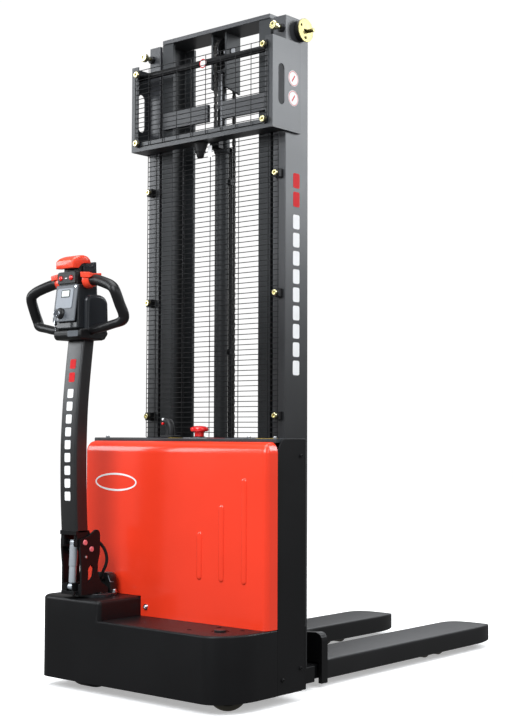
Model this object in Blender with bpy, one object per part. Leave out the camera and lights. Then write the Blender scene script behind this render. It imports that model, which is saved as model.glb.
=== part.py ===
"""Pedestrian-operated lift truck (walkie stacker), modelled at full size in metres, +Z up.

Truck coordinates: X = 0 is the middle of the mast, Y = 0 is the mast's operator-side face, the forks
point along +Y and the floor is Z = 0. The empty "truck" carries everything, so that the world origin
lies on the floor under the middle of the truck's bounding box.
"""

from math import atan2, cos, pi, radians, sin

import bmesh
import bpy
from mathutils import Matrix, Vector

# ---- driving dimensions --------------------------------------------------------------------------
GAP = 0.0003                      # between pieces that touch

CHASSIS_HALF_WIDTH = 0.400
CHASSIS_FRONT = -0.385            # operator side
CHASSIS_BACK = -0.010
CHASSIS_BOTTOM = 0.032
SHELF_HEIGHT = 0.226
DRIVE_HOUSING_HEIGHT = 0.287
DRIVE_HOUSING_RIGHT = -0.119
SHELL_THICKNESS = 0.006
RIGHT_CORNER = (0.092, 0.143)     # half axes of the elliptical front right corner
LEFT_CORNER = (0.050, 0.050)

SIDE_PLATE_FRONT = -0.154
SIDE_PLATE_BACK = -0.026
SIDE_PLATE_TOP = 0.787

HOOD_FRONT = -0.205
HOOD_LEFT = -0.386
HOOD_TOP = 0.777
HOOD_ROLL = 0.040

MAST_DEPTH = 0.115
MAST_TOP = 2.122
OUTER_CHANNEL = (0.250, 0.300)    # inner and outer |X|
INNER_CHANNEL = (0.190, 0.240)
MAST_TIES = ((0.300, 0.080), (0.620, 0.080), (1.757, 0.040))   # bottom and height of each
INNER_MAST_BOTTOM = 0.085
LIFT_TRAVEL = 1.550               # of the inner mast; the forks travel twice as far

FORK_OUTER = 0.312
FORK_WIDTH = 0.180
FORK_TOP = 0.086
FORK_BOTTOM = 0.024
FORK_TIP = 1.285
FORK_HEEL = (0.174, 0.206)        # shank plate, front and back
FORK_PLATE = 0.008
FORK_CORNER = (0.075, 0.150)      # half axes of the tip's rounded corners
FORK_CAVITY_END = 1.150           # of the room under the blade for the leg
CARRIAGE_ROLLERS = (0.150, 0.470) # heights of the roller axles

LEG_CENTRE = 0.222
LEG_HALF_WIDTH = 0.070
LEG_END = 1.015
ROLLER_RADIUS = 0.037
ROLLER_PLACES = (0.868, 0.958)
BOGIE_AXIS = (0.913, 0.045)

STEER_AXIS = Vector((-0.249, -0.282, 0.0))
DRIVE_WHEEL_RADIUS = 0.092
TILLER_PIVOT = Vector((-0.249, -0.340, 0.438))
SPRING_EYE = Vector((-0.249, -0.371, 0.461))
SPRING_FOOT = Vector((-0.249, -0.377, 0.322))

HEAD_TOP = 1.310
THROTTLE_AXIS = Vector((-0.249, -0.375, 1.2800))

CASTER_AXIS = Vector((0.296, -0.290, 0.0))
CASTER_RADIUS = 0.060
CASTER_TRAIL = 0.022
CASTER_HEADING = -48               # degrees; the side of the axis on which the wheel trails, from +Y

PULLEY_AXIS = Vector((0.0, 0.052, 2.062))
CHAIN_RADIUS = 0.0425
CHAIN_THICKNESS = 0.007

GRIP_REACH = -0.4667              # the left grip's outermost point
KEY_REACH = -0.460                # the key's tip, nearest the operator
TRUCK_ORIGIN = -Vector((GRIP_REACH + CHASSIS_HALF_WIDTH, KEY_REACH + FORK_TIP, 0)) / 2

STOP_PLACE = Vector((0.033, -0.100, SIDE_PLATE_TOP))
CONNECTOR_PLACE = Vector((-0.124, -0.070, SIDE_PLATE_TOP))

CABLE_RADIUS = 0.005
CABLE_ROUTE = (                   # (x from the tiller's centre, y, z), from the arm down to the motor cap
    (0.012, -0.333, 0.4830), (0.014, -0.318, 0.474), (0.024, -0.294, 0.460), (0.034, -0.276, 0.438),
    (0.038, -0.267, 0.412), (0.036, -0.266, 0.388), (0.028, -0.270, 0.366), (0.019, -0.270, 0.348),
    (0.014, -0.267, 0.3405), (0.014, -0.2597, 0.3400),
)

PIVOTS = {}


# ---- helpers -------------------------------------------------------------------------------------
def material(name, colour, roughness, metallic=0.0):
    made = bpy.data.materials.new(name)
    made.use_nodes = True
    shader = made.node_tree.nodes["Principled BSDF"]
    shader.inputs["Base Color"].default_value = (*colour, 1.0)
    shader.inputs["Roughness"].default_value = roughness
    shader.inputs["Metallic"].default_value = metallic
    return made


def pivot(name, at, parent=None):
    """An empty on a joint's axis, which carries the pieces that turn or slide there."""
    empty = bpy.data.objects.new(name, None)
    bpy.context.collection.objects.link(empty)
    PIVOTS[name] = (empty, Vector(at))
    if parent:
        empty.parent, origin = PIVOTS[parent]
        empty.location = Vector(at) - origin
    else:
        empty.location = TRUCK_ORIGIN
    return name


def add(name, mesh_source, finish, parent, at=(0, 0, 0), smooth=35):
    """Puts a bmesh into the scene as one named object, with its origin at a point of the truck."""
    mesh = bpy.data.meshes.new(name)
    bmesh.ops.recalc_face_normals(mesh_source, faces=mesh_source.faces)
    mesh_source.to_mesh(mesh)
    mesh_source.free()
    mesh.transform(Matrix.Translation(-Vector(at)))
    mesh.shade_smooth()
    mesh.set_sharp_from_angle(angle=radians(smooth))
    mesh.materials.append(finish)
    made = bpy.data.objects.new(name, mesh)
    bpy.context.collection.objects.link(made)
    made.parent, origin = PIVOTS[parent]
    made.location = Vector(at) - origin
    return made


def block(low, high, bevel=0.0):
    """A box between two corners, with all edges bevelled if a width is given."""
    shape = bmesh.new()
    bmesh.ops.create_cube(shape, size=1.0)
    low, high = Vector(low), Vector(high)
    bmesh.ops.scale(shape, verts=shape.verts, vec=high - low)
    bmesh.ops.translate(shape, verts=shape.verts, vec=(low + high) / 2)
    if bevel:
        bmesh.ops.bevel(shape, geom=shape.edges[:], offset=bevel, segments=1, affect="EDGES")
    return shape


def extruded(outline, axis, low, high):
    """A closed outline of 2-D points, extruded along X, Y or Z. The outline's points are the two
    other coordinates in X, Y, Z order."""
    shape = bmesh.new()
    places = {"X": lambda a, b: (low, a, b), "Y": lambda a, b: (a, low, b), "Z": lambda a, b: (a, b, low)}
    face = shape.faces.new([shape.verts.new(places[axis](*point)) for point in outline])
    swept = bmesh.ops.extrude_face_region(shape, geom=[face])
    tops = [item for item in swept["geom"] if isinstance(item, bmesh.types.BMVert)]
    step = {"X": (high - low, 0, 0), "Y": (0, high - low, 0), "Z": (0, 0, high - low)}[axis]
    bmesh.ops.translate(shape, verts=tops, vec=step)
    return shape


def turned(profile, at, axis, sides=20):
    """A closed profile of (radius, height) points, spun about an axis through a point."""
    shape = bmesh.new()
    ring = [shape.verts.new((radius, 0, height)) for radius, height in profile]
    loop = [shape.edges.new((ring[i], ring[(i + 1) % len(ring)])) for i in range(len(ring))]
    bmesh.ops.spin(
        shape, geom=ring + loop, cent=(0, 0, 0), axis=(0, 0, 1), angle=2 * pi, steps=sides,
        use_merge=True, use_duplicate=False,
    )
    bmesh.ops.remove_doubles(shape, verts=shape.verts, dist=1e-6)
    bmesh.ops.dissolve_degenerate(shape, edges=shape.edges, dist=1e-6)
    turn = {"X": Matrix.Rotation(pi / 2, 4, "Y"), "Y": Matrix.Rotation(-pi / 2, 4, "X"), "Z": Matrix()}[axis]
    bmesh.ops.transform(shape, matrix=Matrix.Translation(at) @ turn, verts=shape.verts)
    return shape


def rod(radius, at, axis, low, high, sides=20):
    """A cylinder from low to high along an axis, measured from a point."""
    return turned([(0, low), (radius, low), (radius, high), (0, high)], at, axis, sides)


def ring(inner, outer, at, axis, low, high, sides=20):
    return turned([(inner, low), (outer, low), (outer, high), (inner, high)], at, axis, sides)


def arc(centre, radii, start, end, steps):
    """Points on an ellipse's arc, with angles in degrees."""
    angles = [radians(start + (end - start) * i / steps) for i in range(steps + 1)]
    return [(centre[0] + radii[0] * cos(a), centre[1] + radii[1] * sin(a)) for a in angles]


def tube(name, points, radius, finish, parent, at=(0, 0, 0), resolution=2):
    """A round bar along a polyline, with filled ends, kept as a curve object."""
    curve = bpy.data.curves.new(name, "CURVE")
    curve.dimensions = "3D"
    curve.bevel_depth = radius
    curve.bevel_resolution = resolution
    curve.use_fill_caps = True
    spline = curve.splines.new("POLY")
    spline.points.add(len(points) - 1)
    for place, point in zip(spline.points, points):
        place.co = (*(Vector(point) - Vector(at)), 1)
        place.radius = 1.0
    curve.materials.append(finish)
    made = bpy.data.objects.new(name, curve)
    bpy.context.collection.objects.link(made)
    made.parent, origin = PIVOTS[parent]
    made.location = Vector(at) - origin
    return made


def mirrored(shape, side):
    """The shape itself on the right (side 1), its mirror image across the truck's middle on the left."""
    if side < 0:
        bmesh.ops.scale(shape, verts=shape.verts, vec=(-1, 1, 1))
    return shape


def smooth_route(points, steps):
    """Points on a Catmull-Rom curve through a route's own points."""
    route = [Vector(point) for point in points]
    ends = [2 * route[0] - route[1], *route, 2 * route[-1] - route[-2]]
    made = []
    for before, start, end, after in zip(ends, ends[1:], ends[2:], ends[3:]):
        for i in range(steps):
            t = i / steps
            made.append(
                0.5 * (2 * start + (end - before) * t + (2 * before - 5 * start + 4 * end - after) * t**2
                       + (3 * start - before - 3 * end + after) * t**3)
            )
    return made + [route[-1]]


def combine(target, tools, operation):
    """Booleans on an object, each with a hidden helper made from a bmesh."""
    for number, source in enumerate(tools):
        name = f"{target.name}.{operation.lower()}{number}"
        helper = add(name, source, target.data.materials[0], "truck")
        helper.hide_render = True
        helper.display_type = "WIRE"
        boolean = target.modifiers.new(name, "BOOLEAN")
        boolean.operation = operation
        boolean.object = helper
    return target


def cut(target, *tools):
    return combine(target, tools, "DIFFERENCE")


def join(target, *tools):
    return combine(target, tools, "UNION")


# ---- materials -----------------------------------------------------------------------------------
def make_materials():
    return {
        "hood": material("hood_red", (0.83, 0.07, 0.02), 0.3),
        "black": material("powder_black", (0.012, 0.012, 0.013), 0.5),
        "mast": material("mast_grey", (0.055, 0.06, 0.068), 0.45),
        "fork": material("fork_grey", (0.05, 0.05, 0.052), 0.5),
        "plastic": material("moulded_black", (0.015, 0.015, 0.017), 0.4),
        "grey": material("moulded_grey", (0.10, 0.11, 0.13), 0.45),
        "red": material("control_red", (0.85, 0.06, 0.02), 0.35),
        "steel": material("bright_steel", (0.6, 0.62, 0.65), 0.25, 1.0),
        "zinc": material("yellow_zinc", (0.6, 0.5, 0.25), 0.3, 1.0),
        "rubber": material("rubber", (0.01, 0.01, 0.01), 0.8),
        "urethane": material("urethane", (0.35, 0.10, 0.03), 0.45),
        "wire": material("guard_wire", (0.03, 0.03, 0.032), 0.45),
        "battery": material("battery_case", (0.03, 0.05, 0.09), 0.5),
    }


# ---- chassis and body ----------------------------------------------------------------------------
def chassis_plan(inset):
    """The chassis outline seen from above, moved inwards by an inset."""
    side, front = CHASSIS_HALF_WIDTH - inset, CHASSIS_FRONT + inset
    back, waist = CHASSIS_BACK - inset, SIDE_PLATE_FRONT - GAP - inset
    narrow = CHASSIS_HALF_WIDTH - SHELL_THICKNESS - GAP - inset
    right = (RIGHT_CORNER[0] - inset, RIGHT_CORNER[1] - inset)
    left = (LEFT_CORNER[0] - inset, LEFT_CORNER[1] - inset)
    return [
        (narrow, back), (-narrow, back), (-narrow, waist), (-side, waist),
        *arc((-side + left[0], front + left[1]), left, 180, 270, 5),
        *arc((side - right[0], front + right[1]), right, -90, 0, 8),
        (side, waist), (narrow, waist),
    ]


def drive_housing_plan(inset):
    side, front = CHASSIS_HALF_WIDTH - inset, CHASSIS_FRONT + inset
    left = (LEFT_CORNER[0] - inset, LEFT_CORNER[1] - inset)
    right, back = DRIVE_HOUSING_RIGHT - inset, SIDE_PLATE_FRONT - 0.002 - inset
    return [
        (right, back), (-side, back),
        *arc((-side + left[0], front + left[1]), left, 180, 270, 5),
        (right, front),
    ]


def make_chassis(finish):
    body = extruded(chassis_plan(0), "Z", CHASSIS_BOTTOM, SHELF_HEIGHT)
    chassis = add("chassis", body, finish["black"], "truck")
    join(chassis, extruded(drive_housing_plan(0), "Z", SHELF_HEIGHT - 0.020, DRIVE_HOUSING_HEIGHT))
    thick = SHELL_THICKNESS
    cut(
        chassis,
        extruded(chassis_plan(thick), "Z", CHASSIS_BOTTOM - 0.010, SHELF_HEIGHT - thick),
        extruded(drive_housing_plan(thick), "Z", SHELF_HEIGHT - 0.030, DRIVE_HOUSING_HEIGHT - thick),
        rod(0.062, STEER_AXIS, "Z", SHELF_HEIGHT, DRIVE_HOUSING_HEIGHT + 0.010),
        rod(0.016, CASTER_AXIS, "Z", SHELF_HEIGHT - 0.020, SHELF_HEIGHT + 0.010, 16),
    )
    join(chassis, block((-0.392, -0.024, SHELF_HEIGHT - 0.010), (0.392, -0.019, SIDE_PLATE_TOP - 0.0125)))
    for side, name in ((-1, "left"), (1, "right")):
        low, high = SIDE_PLATE_BACK, SIDE_PLATE_FRONT
        outline = [
            (low, CHASSIS_BOTTOM), (low, SIDE_PLATE_TOP), (high + 0.035, SIDE_PLATE_TOP),
            *arc((high + 0.035, SIDE_PLATE_TOP - 0.063), (0.035, 0.063), 105, 180, 5),
            (high, CHASSIS_BOTTOM),
        ]
        inner = side * (CHASSIS_HALF_WIDTH - SHELL_THICKNESS)
        outer = side * CHASSIS_HALF_WIDTH
        add(f"side_plate_{name}", extruded(outline, "X", *sorted((inner, outer))), finish["black"], "truck")


def make_hood(finish):
    left, right, back = HOOD_LEFT, CHASSIS_HALF_WIDTH - 0.0005, SIDE_PLATE_FRONT - GAP
    floor, wall = SHELF_HEIGHT + GAP, 0.004
    roll_at = (HOOD_FRONT + HOOD_ROLL, HOOD_TOP - HOOD_ROLL)
    outline = [
        (back, floor), (HOOD_FRONT, floor),
        *arc(roll_at, (HOOD_ROLL, HOOD_ROLL), 180, 90, 5), (back, HOOD_TOP),
    ]
    inner = [
        (back + 0.02, floor - 0.02), (HOOD_FRONT + wall, floor - 0.02),
        *arc(roll_at, (HOOD_ROLL - wall, HOOD_ROLL - wall), 180, 90, 5),
        (back + 0.02, HOOD_TOP - wall),
    ]
    shell = extruded(outline, "X", left, right)
    corners = [
        edge for edge in shell.edges
        if all(abs(vertex.co.y - HOOD_FRONT) < 1e-5 for vertex in edge.verts)
        and abs(edge.verts[0].co.x - edge.verts[1].co.x) < 1e-6
    ]
    bmesh.ops.bevel(shell, geom=corners, offset=0.018, segments=3, affect="EDGES", profile=0.5)
    hood = add("hood", shell, finish["hood"], "truck")
    step = DRIVE_HOUSING_RIGHT + GAP
    cut(
        hood,
        extruded(inner, "X", left + wall, right - wall),
        block((left - 0.05, HOOD_FRONT - 0.05, 0), (step, 0, DRIVE_HOUSING_HEIGHT + GAP)),
    )
    half, deck = CHASSIS_HALF_WIDTH - SHELL_THICKNESS - GAP, 0.012
    low = (-half, SIDE_PLATE_FRONT, SIDE_PLATE_TOP - deck)
    panel = block(low, (half, SIDE_PLATE_BACK, SIDE_PLATE_TOP), bevel=0.002)
    top_panel = add("top_panel", panel, finish["grey"], "truck")
    flange = block((-0.028, -0.022, -0.004), (0.028, 0.022, 0.008), 0.002)
    handle = block((-0.016, -0.014, 0.004), (0.018, 0.014, 0.062), 0.005)
    for shape in (flange, handle):
        bmesh.ops.translate(shape, verts=shape.verts, vec=CONNECTOR_PLACE)
    join(top_panel, rod(0.017, STOP_PLACE, "Z", -0.006, 0.005, 20), flange, handle)
    cut(top_panel, rod(0.0105, STOP_PLACE, "Z", -0.100, 0.100, 16))


def make_power_unit(finish):
    battery = block((-0.060, -0.190, 0.232), (0.370, -0.035, 0.470), 0.004)
    add("battery_pack", battery, finish["battery"], "truck")
    controller = block((0.120, -0.185, 0.4703), (0.350, -0.070, 0.530), 0.004)
    add("motor_controller", controller, finish["steel"], "truck")
    tank = block((-0.360, -0.145, 0.2903), (-0.150, -0.030, 0.480), 0.008)
    motor = rod(0.052, (-0.255, -0.090, 0), "Z", 0.470, 0.660, 24)
    join(add("hydraulic_power_pack", tank, finish["black"], "truck"), motor)


def make_emergency_stop(finish):
    at = STOP_PLACE
    pivot("emergency_stop_slide", at, "truck")
    profile = [
        (0, -0.030), (0.010, -0.030), (0.010, 0.011), (0.015, 0.012), (0.014, 0.022), (0.028, 0.026),
        (0.029, 0.033), (0.026, 0.037), (0, 0.039),
    ]
    add("emergency_stop_button", turned(profile, at, "Z", 24), finish["red"], "emergency_stop_slide", at)


# ---- mast ----------------------------------------------------------------------------------------
def channel(side, limits, web, flange, low, high):
    """A C section standing upright, open towards the middle of the truck."""
    near, far = side * limits[0], side * limits[1]
    back = far - side * web
    outline = [
        (near, 0), (far, 0), (far, MAST_DEPTH), (near, MAST_DEPTH), (near, MAST_DEPTH - flange),
        (back, MAST_DEPTH - flange), (back, flange), (near, flange),
    ]
    return extruded(outline, "Z", low, high)


def make_outer_mast(finish):
    back, half = MAST_DEPTH, OUTER_CHANNEL[1]
    low, high = CHASSIS_BOTTOM, MAST_TOP
    mast = add("outer_mast", channel(-1, OUTER_CHANNEL, 0.010, 0.012, low, high), finish["mast"], "truck")
    join(
        mast,
        channel(1, OUTER_CHANNEL, 0.010, 0.012, low, high),
        *(block((-half, -0.012, z), (half, -0.001, z + height)) for z, height in MAST_TIES),
        *(mirrored(block((0.255, -0.004, z + 0.005), (0.295, 0.003, z + height - 0.005)), side)
          for side in (-1, 1) for z, height in MAST_TIES),
    )
    hub = Vector((0, 0.075, 2.084))
    face = half + GAP
    for side, name in ((-1, "left"), (1, "right")):
        cap = turned(
            [(0, face - 0.009), (0.0118, face - 0.009), (0.0118, face), (0.032, face),
             (0.032, face + 0.010), (0.0375, face + 0.010), (0.0375, face + 0.015), (0.010, face + 0.015),
             (0.010, face + 0.024), (0, face + 0.024)],
            hub, "X", 24,
        )
        cut(mast, rod(0.0121, hub, "X", *sorted((side * (half - 0.0097), side * (half + 0.02))), 20))
        add(f"mast_roller_cap_{name}", mirrored(cap, side), finish["zinc"], "truck")
        screw = turned(
            [(0, -0.048), (0.0125, -0.048), (0.0125, -0.034), (0.006, -0.034), (0.006, -0.008),
             (0.013, -0.008), (0.013, -GAP), (0, -GAP)],
            (side * 0.286, 0, 2.080), "Y", 20,
        )
        add(f"mast_adjuster_{name}", screw, finish["zinc"], "truck")
    inside = OUTER_CHANNEL[0] - GAP
    bar = block((-0.313, back + GAP, 0.023), (0.313, 0.138, 0.073))
    beam = add("base_beam", bar, finish["black"], "truck")
    lugs = (sorted((side * (half + GAP), side * 0.313)) for side in (-1, 1))
    join(
        beam,
        block((-inside, 0.008, 0.034), (inside, back + 0.004, 0.058)),
        *(block((lug[0], 0.087, 0.023), (lug[1], back + 0.004, 0.073)) for lug in lugs),
    )


def make_lift(finish):
    barrel_at = Vector((0, 0.038, 0))
    pipe = ring(0.0153, 0.0225, barrel_at, "Z", 0.0583, 1.780, 24)
    barrel = add("cylinder_barrel", pipe, finish["black"], "truck")
    anchor = PULLEY_AXIS.y - CHAIN_RADIUS
    join(
        barrel,
        block((-0.020, -0.0005, 1.760), (0.020, 0.062, 1.7795)),
        block((-0.006, anchor - CHAIN_THICKNESS, 1.770), (0.006, anchor, 1.830)),
    )
    cut(barrel, rod(0.0153, barrel_at, "Z", 1.70, 1.85, 24))
    pivot("inner_mast_slide", (0, 0, 0), "truck")
    shaft = rod(0.0150, barrel_at, "Z", 0.062, 1.9897, 20)
    add("piston_rod", shaft, finish["steel"], "inner_mast_slide")
    low, high, half = INNER_MAST_BOTTOM, MAST_TOP + 0.001, 0.237
    left = channel(-1, INNER_CHANNEL, 0.010, 0.012, low, high)
    mast = add("inner_mast", left, finish["mast"], "inner_mast_slide")
    back, top = MAST_DEPTH, MAST_TOP + GAP
    head = [(0.020, top + 0.002), (0.020, 1.940), (0.090, 1.925), (0.090, top + 0.002)]
    join(
        mast,
        channel(1, INNER_CHANNEL, 0.010, 0.012, low, high),
        block((-half, -0.003, top), (half, back - 0.010, top + 0.015)),
        block((-0.225, -0.012, 1.826), (-0.020, 0.002, 1.883)),
        block((0.040, -0.012, 1.826), (0.225, 0.002, 1.883)),
        *(extruded(head, "X", *sorted((side * 0.026, side * 0.034))) for side in (-1, 1)),
        block((-0.030, 0.020, 1.990), (0.030, 0.070, 2.000)),
        rod(0.0095, PULLEY_AXIS, "X", -0.030, 0.030, 16),
        block((-0.200, 0.001, low), (0.200, 0.011, low + 0.060)),
    )
    make_chain(finish)


def make_chain(finish):
    steel = finish["steel"]
    pulley = turned(
        [(0.010, -0.012), (0.050, -0.012), (0.050, -0.009), (0.042, -0.007), (0.042, 0.007), (0.050, 0.009),
         (0.050, 0.012), (0.010, 0.012)],
        PULLEY_AXIS, "X", 24,
    )
    pivot("pulley_spin", PULLEY_AXIS, "inner_mast_slide")
    add("chain_pulley", pulley, steel, "pulley_spin", PULLEY_AXIS)
    centre = (PULLEY_AXIS.y, PULLEY_AXIS.z)
    low, high = PULLEY_AXIS.y - CHAIN_RADIUS, PULLEY_AXIS.y + CHAIN_RADIUS
    run = block((-0.006, low - CHAIN_THICKNESS, 1.8303), (0.006, low, PULLEY_AXIS.z - GAP))
    add("chain_front", run, steel, "truck")
    outer = arc(centre, (CHAIN_RADIUS + CHAIN_THICKNESS,) * 2, 0, 180, 12)
    inner = arc(centre, (CHAIN_RADIUS, CHAIN_RADIUS), 180, 0, 12)
    add("chain_wrap", extruded(outer + inner, "X", -0.006, 0.006), steel, "inner_mast_slide")
    run = block((-0.006, high, 0.4303), (0.006, high + CHAIN_THICKNESS, PULLEY_AXIS.z - GAP))
    add("chain_rear", run, steel, "inner_mast_slide")


# ---- carriage, forks and legs --------------------------------------------------------------------
def fork_plan():
    outer, inner = FORK_OUTER, FORK_OUTER - FORK_WIDTH
    shoulder = FORK_TIP - FORK_CORNER[1]
    return [
        (outer, FORK_HEEL[1] - 0.001), (outer, shoulder),
        *arc((outer - FORK_CORNER[0], shoulder), FORK_CORNER, 0, 90, 6),
        *arc((inner + FORK_CORNER[0], shoulder), FORK_CORNER, 90, 180, 6),
        (inner, FORK_HEEL[1] - 0.001),
    ]


def carriage_frame(finish):
    """The welded frame that runs in the inner mast: cheeks, cross bars, chain lug and fork shanks."""
    front, back = FORK_HEEL[0], FORK_HEEL[1] - 0.0013
    cross_bar = block((-0.200, front, 0.090), (0.200, back, 0.160))
    frame = add("carriage_frame", cross_bar, finish["mast"], "carriage_slide")
    join(
        frame,
        block((-0.165, front - 0.001, 0.440), (0.165, front + 0.012, 0.530)),
        block((-0.012, 0.092, 0.400), (0.012, front + 0.005, 0.430)),
        block((-0.030, front, 0.400), (0.030, front + 0.011, 0.450)),
    )
    heel = [
        (0.128, 0.0873), (0.128, 0.160), *arc((0.288, 0.146), (0.025, 0.025), 90, 0, 4),
        (0.313, 0.012), (0.128, 0.012),
    ]
    for side in (-1, 1):
        join(
            frame,
            mirrored(extruded(heel, "Y", front, back), side),
            mirrored(block((0.150, 0.030, 0.0953), (0.165, front + 0.005, 0.530)), side),
            *(rod(0.0120, (0, MAST_DEPTH / 2, z), "X", *sorted((side * 0.160, side * 0.2265)), 16)
              for z in CARRIAGE_ROLLERS),
        )
    tunnel = FORK_TOP - FORK_PLATE
    cut(frame, *(mirrored(block((0.146, 0.1, 0), (0.299, 0.3, tunnel)), side) for side in (-1, 1)))


def make_carriage(finish):
    pivot("carriage_slide", (0, 0, 0), "inner_mast_slide")
    carriage_frame(finish)
    inner, outer = FORK_OUTER - FORK_WIDTH + FORK_PLATE, FORK_OUTER - FORK_PLATE
    under, ceiling = FORK_BOTTOM - 0.001, FORK_TOP - FORK_PLATE
    ramp = [(FORK_TIP - 0.040, under), (FORK_TIP + 0.010, under), (FORK_TIP + 0.010, 0.042)]
    for side, name in ((-1, "left"), (1, "right")):
        shape = mirrored(extruded(fork_plan(), "Z", FORK_BOTTOM, FORK_TOP), side)
        fork = add(f"fork_{name}", shape, finish["fork"], "carriage_slide")
        cut(
            fork,
            mirrored(block((inner, 0.1, under - 0.01), (outer, FORK_CAVITY_END, ceiling)), side),
            mirrored(extruded(ramp, "X", 0.1, 0.35), side),
        )
        for height, level in zip(CARRIAGE_ROLLERS, ("low", "high")):
            centre = Vector((0, MAST_DEPTH / 2, height))
            wheel = ring(0.0123, 0.045, centre, "X", *sorted((side * 0.194, side * 0.226)), 20)
            joint = pivot(f"carriage_roller_{level}_{name}_spin", centre, "carriage_slide")
            add(f"carriage_roller_{level}_{name}", wheel, finish["steel"], joint, centre)


def make_legs(finish):
    for side, name in ((-1, "left"), (1, "right")):
        centre = side * LEG_CENTRE
        slot = 0.038
        bogie_at = Vector((centre, *BOGIE_AXIS))
        beam = block((centre - LEG_HALF_WIDTH, 0.1383, 0.027), (centre + LEG_HALF_WIDTH, LEG_END, 0.072))
        leg = add(f"leg_{name}", beam, finish["black"], "truck")
        cut(
            leg,
            block((centre - slot, 0.815, 0.0), (centre + slot, LEG_END - 0.008, 0.1)),
            rod(0.0085, bogie_at, "X", -slot - 0.012, slot + 0.012, 20),
        )
        pivot(f"bogie_{name}_tilt", bogie_at, "truck")
        link = [
            (0.855, 0.032), (0.971, 0.032), (0.976, 0.045), (0.971, 0.058), (0.855, 0.058), (0.850, 0.045),
        ]
        plate = extruded(link, "X", centre - 0.0370, centre - 0.0320)
        bogie = add(f"bogie_{name}", plate, finish["steel"], f"bogie_{name}_tilt", bogie_at)
        join(
            bogie,
            extruded(link, "X", centre + 0.0320, centre + 0.0370),
            rod(0.0082, bogie_at, "X", -slot - 0.009, slot + 0.009, 16),
            *(rod(0.0100, (centre, place, BOGIE_AXIS[1] - 0.008), "X", -0.0345, 0.0345, 16)
              for place in ROLLER_PLACES),
        )
        for number, place in enumerate(ROLLER_PLACES, 1):
            at = Vector((centre, place, ROLLER_RADIUS))
            joint = pivot(f"load_roller_{name}_{number}_spin", at, f"bogie_{name}_tilt")
            wheel = ring(0.0103, ROLLER_RADIUS, at, "X", -0.0315, 0.0315, 24)
            add(f"load_roller_{name}_{number}", wheel, finish["urethane"], joint, at)


def make_caster(finish):
    pivot("caster_swivel", CASTER_AXIS, "truck")
    turn = Matrix.Translation(CASTER_AXIS) @ Matrix.Rotation(radians(CASTER_HEADING), 4, "Z")
    turn = turn @ Matrix.Translation(-CASTER_AXIS)
    deck = SHELF_HEIGHT - SHELL_THICKNESS - GAP
    plate = rod(0.045, CASTER_AXIS, "Z", deck - 0.014, deck, 24)
    fork = add("caster_fork", plate, finish["steel"], "caster_swivel", CASTER_AXIS)
    hub = CASTER_AXIS + Vector((0, CASTER_TRAIL, CASTER_RADIUS))
    side_view = [
        (CASTER_AXIS.y - 0.030, deck - 0.006), (hub.y - 0.014, 0.050), (hub.y + 0.014, 0.050),
        (CASTER_AXIS.y + 0.040, deck - 0.006),
    ]
    crown = block((-0.036, -0.030, deck - 0.020), (0.036, 0.040, deck - 0.004))
    bmesh.ops.translate(crown, verts=crown.verts, vec=CASTER_AXIS)
    cheeks = (sorted((CASTER_AXIS.x + side * 0.030, CASTER_AXIS.x + side * 0.036)) for side in (-1, 1))
    parts = [
        rod(0.0155, CASTER_AXIS, "Z", deck - 0.006, SHELF_HEIGHT + 0.004, 16),
        crown,
        *(extruded(side_view, "X", *cheek) for cheek in cheeks),
        rod(0.0080, hub, "X", -0.033, 0.033, 16),
    ]
    for part in parts:
        bmesh.ops.transform(part, matrix=turn, verts=part.verts)
    join(fork, *parts)
    pivot("caster_spin", turn @ hub, "caster_swivel")
    tyre = turned(
        [(0.0083, -0.027), (0.052, -0.027), (CASTER_RADIUS, -0.019), (CASTER_RADIUS, 0.019), (0.052, 0.027),
         (0.0083, 0.027)],
        hub, "X", 24,
    )
    bmesh.ops.transform(tyre, matrix=turn, verts=tyre.verts)
    add("caster_wheel", tyre, finish["urethane"], "caster_spin", turn @ hub)


# ---- guards --------------------------------------------------------------------------------------
def grille(low, high, y, columns, rows, bar, thickness):
    """A flat screen of crossing bars between two corners (X, Z), coarser than the real wire mesh."""
    shape = bmesh.new()
    xs, zs = [], []
    for low_edge, high_edge, count, out in ((low[0], high[0], columns, xs), (low[1], high[1], rows, zs)):
        pitch = (high_edge - low_edge - bar) / count
        for i in range(count + 1):
            out.extend((low_edge + pitch * i, low_edge + pitch * i + bar))
    grid = [[shape.verts.new((x, y, z)) for z in zs] for x in xs]
    for i in range(len(xs) - 1):
        for j in range(len(zs) - 1):
            if i % 2 and j % 2:
                continue
            shape.faces.new((grid[i][j], grid[i + 1][j], grid[i + 1][j + 1], grid[i][j + 1]))
    swept = bmesh.ops.extrude_face_region(shape, geom=shape.faces[:])
    tops = [item for item in swept["geom"] if isinstance(item, bmesh.types.BMVert)]
    bmesh.ops.translate(shape, verts=tops, vec=(0, -thickness, 0))
    return shape


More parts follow.
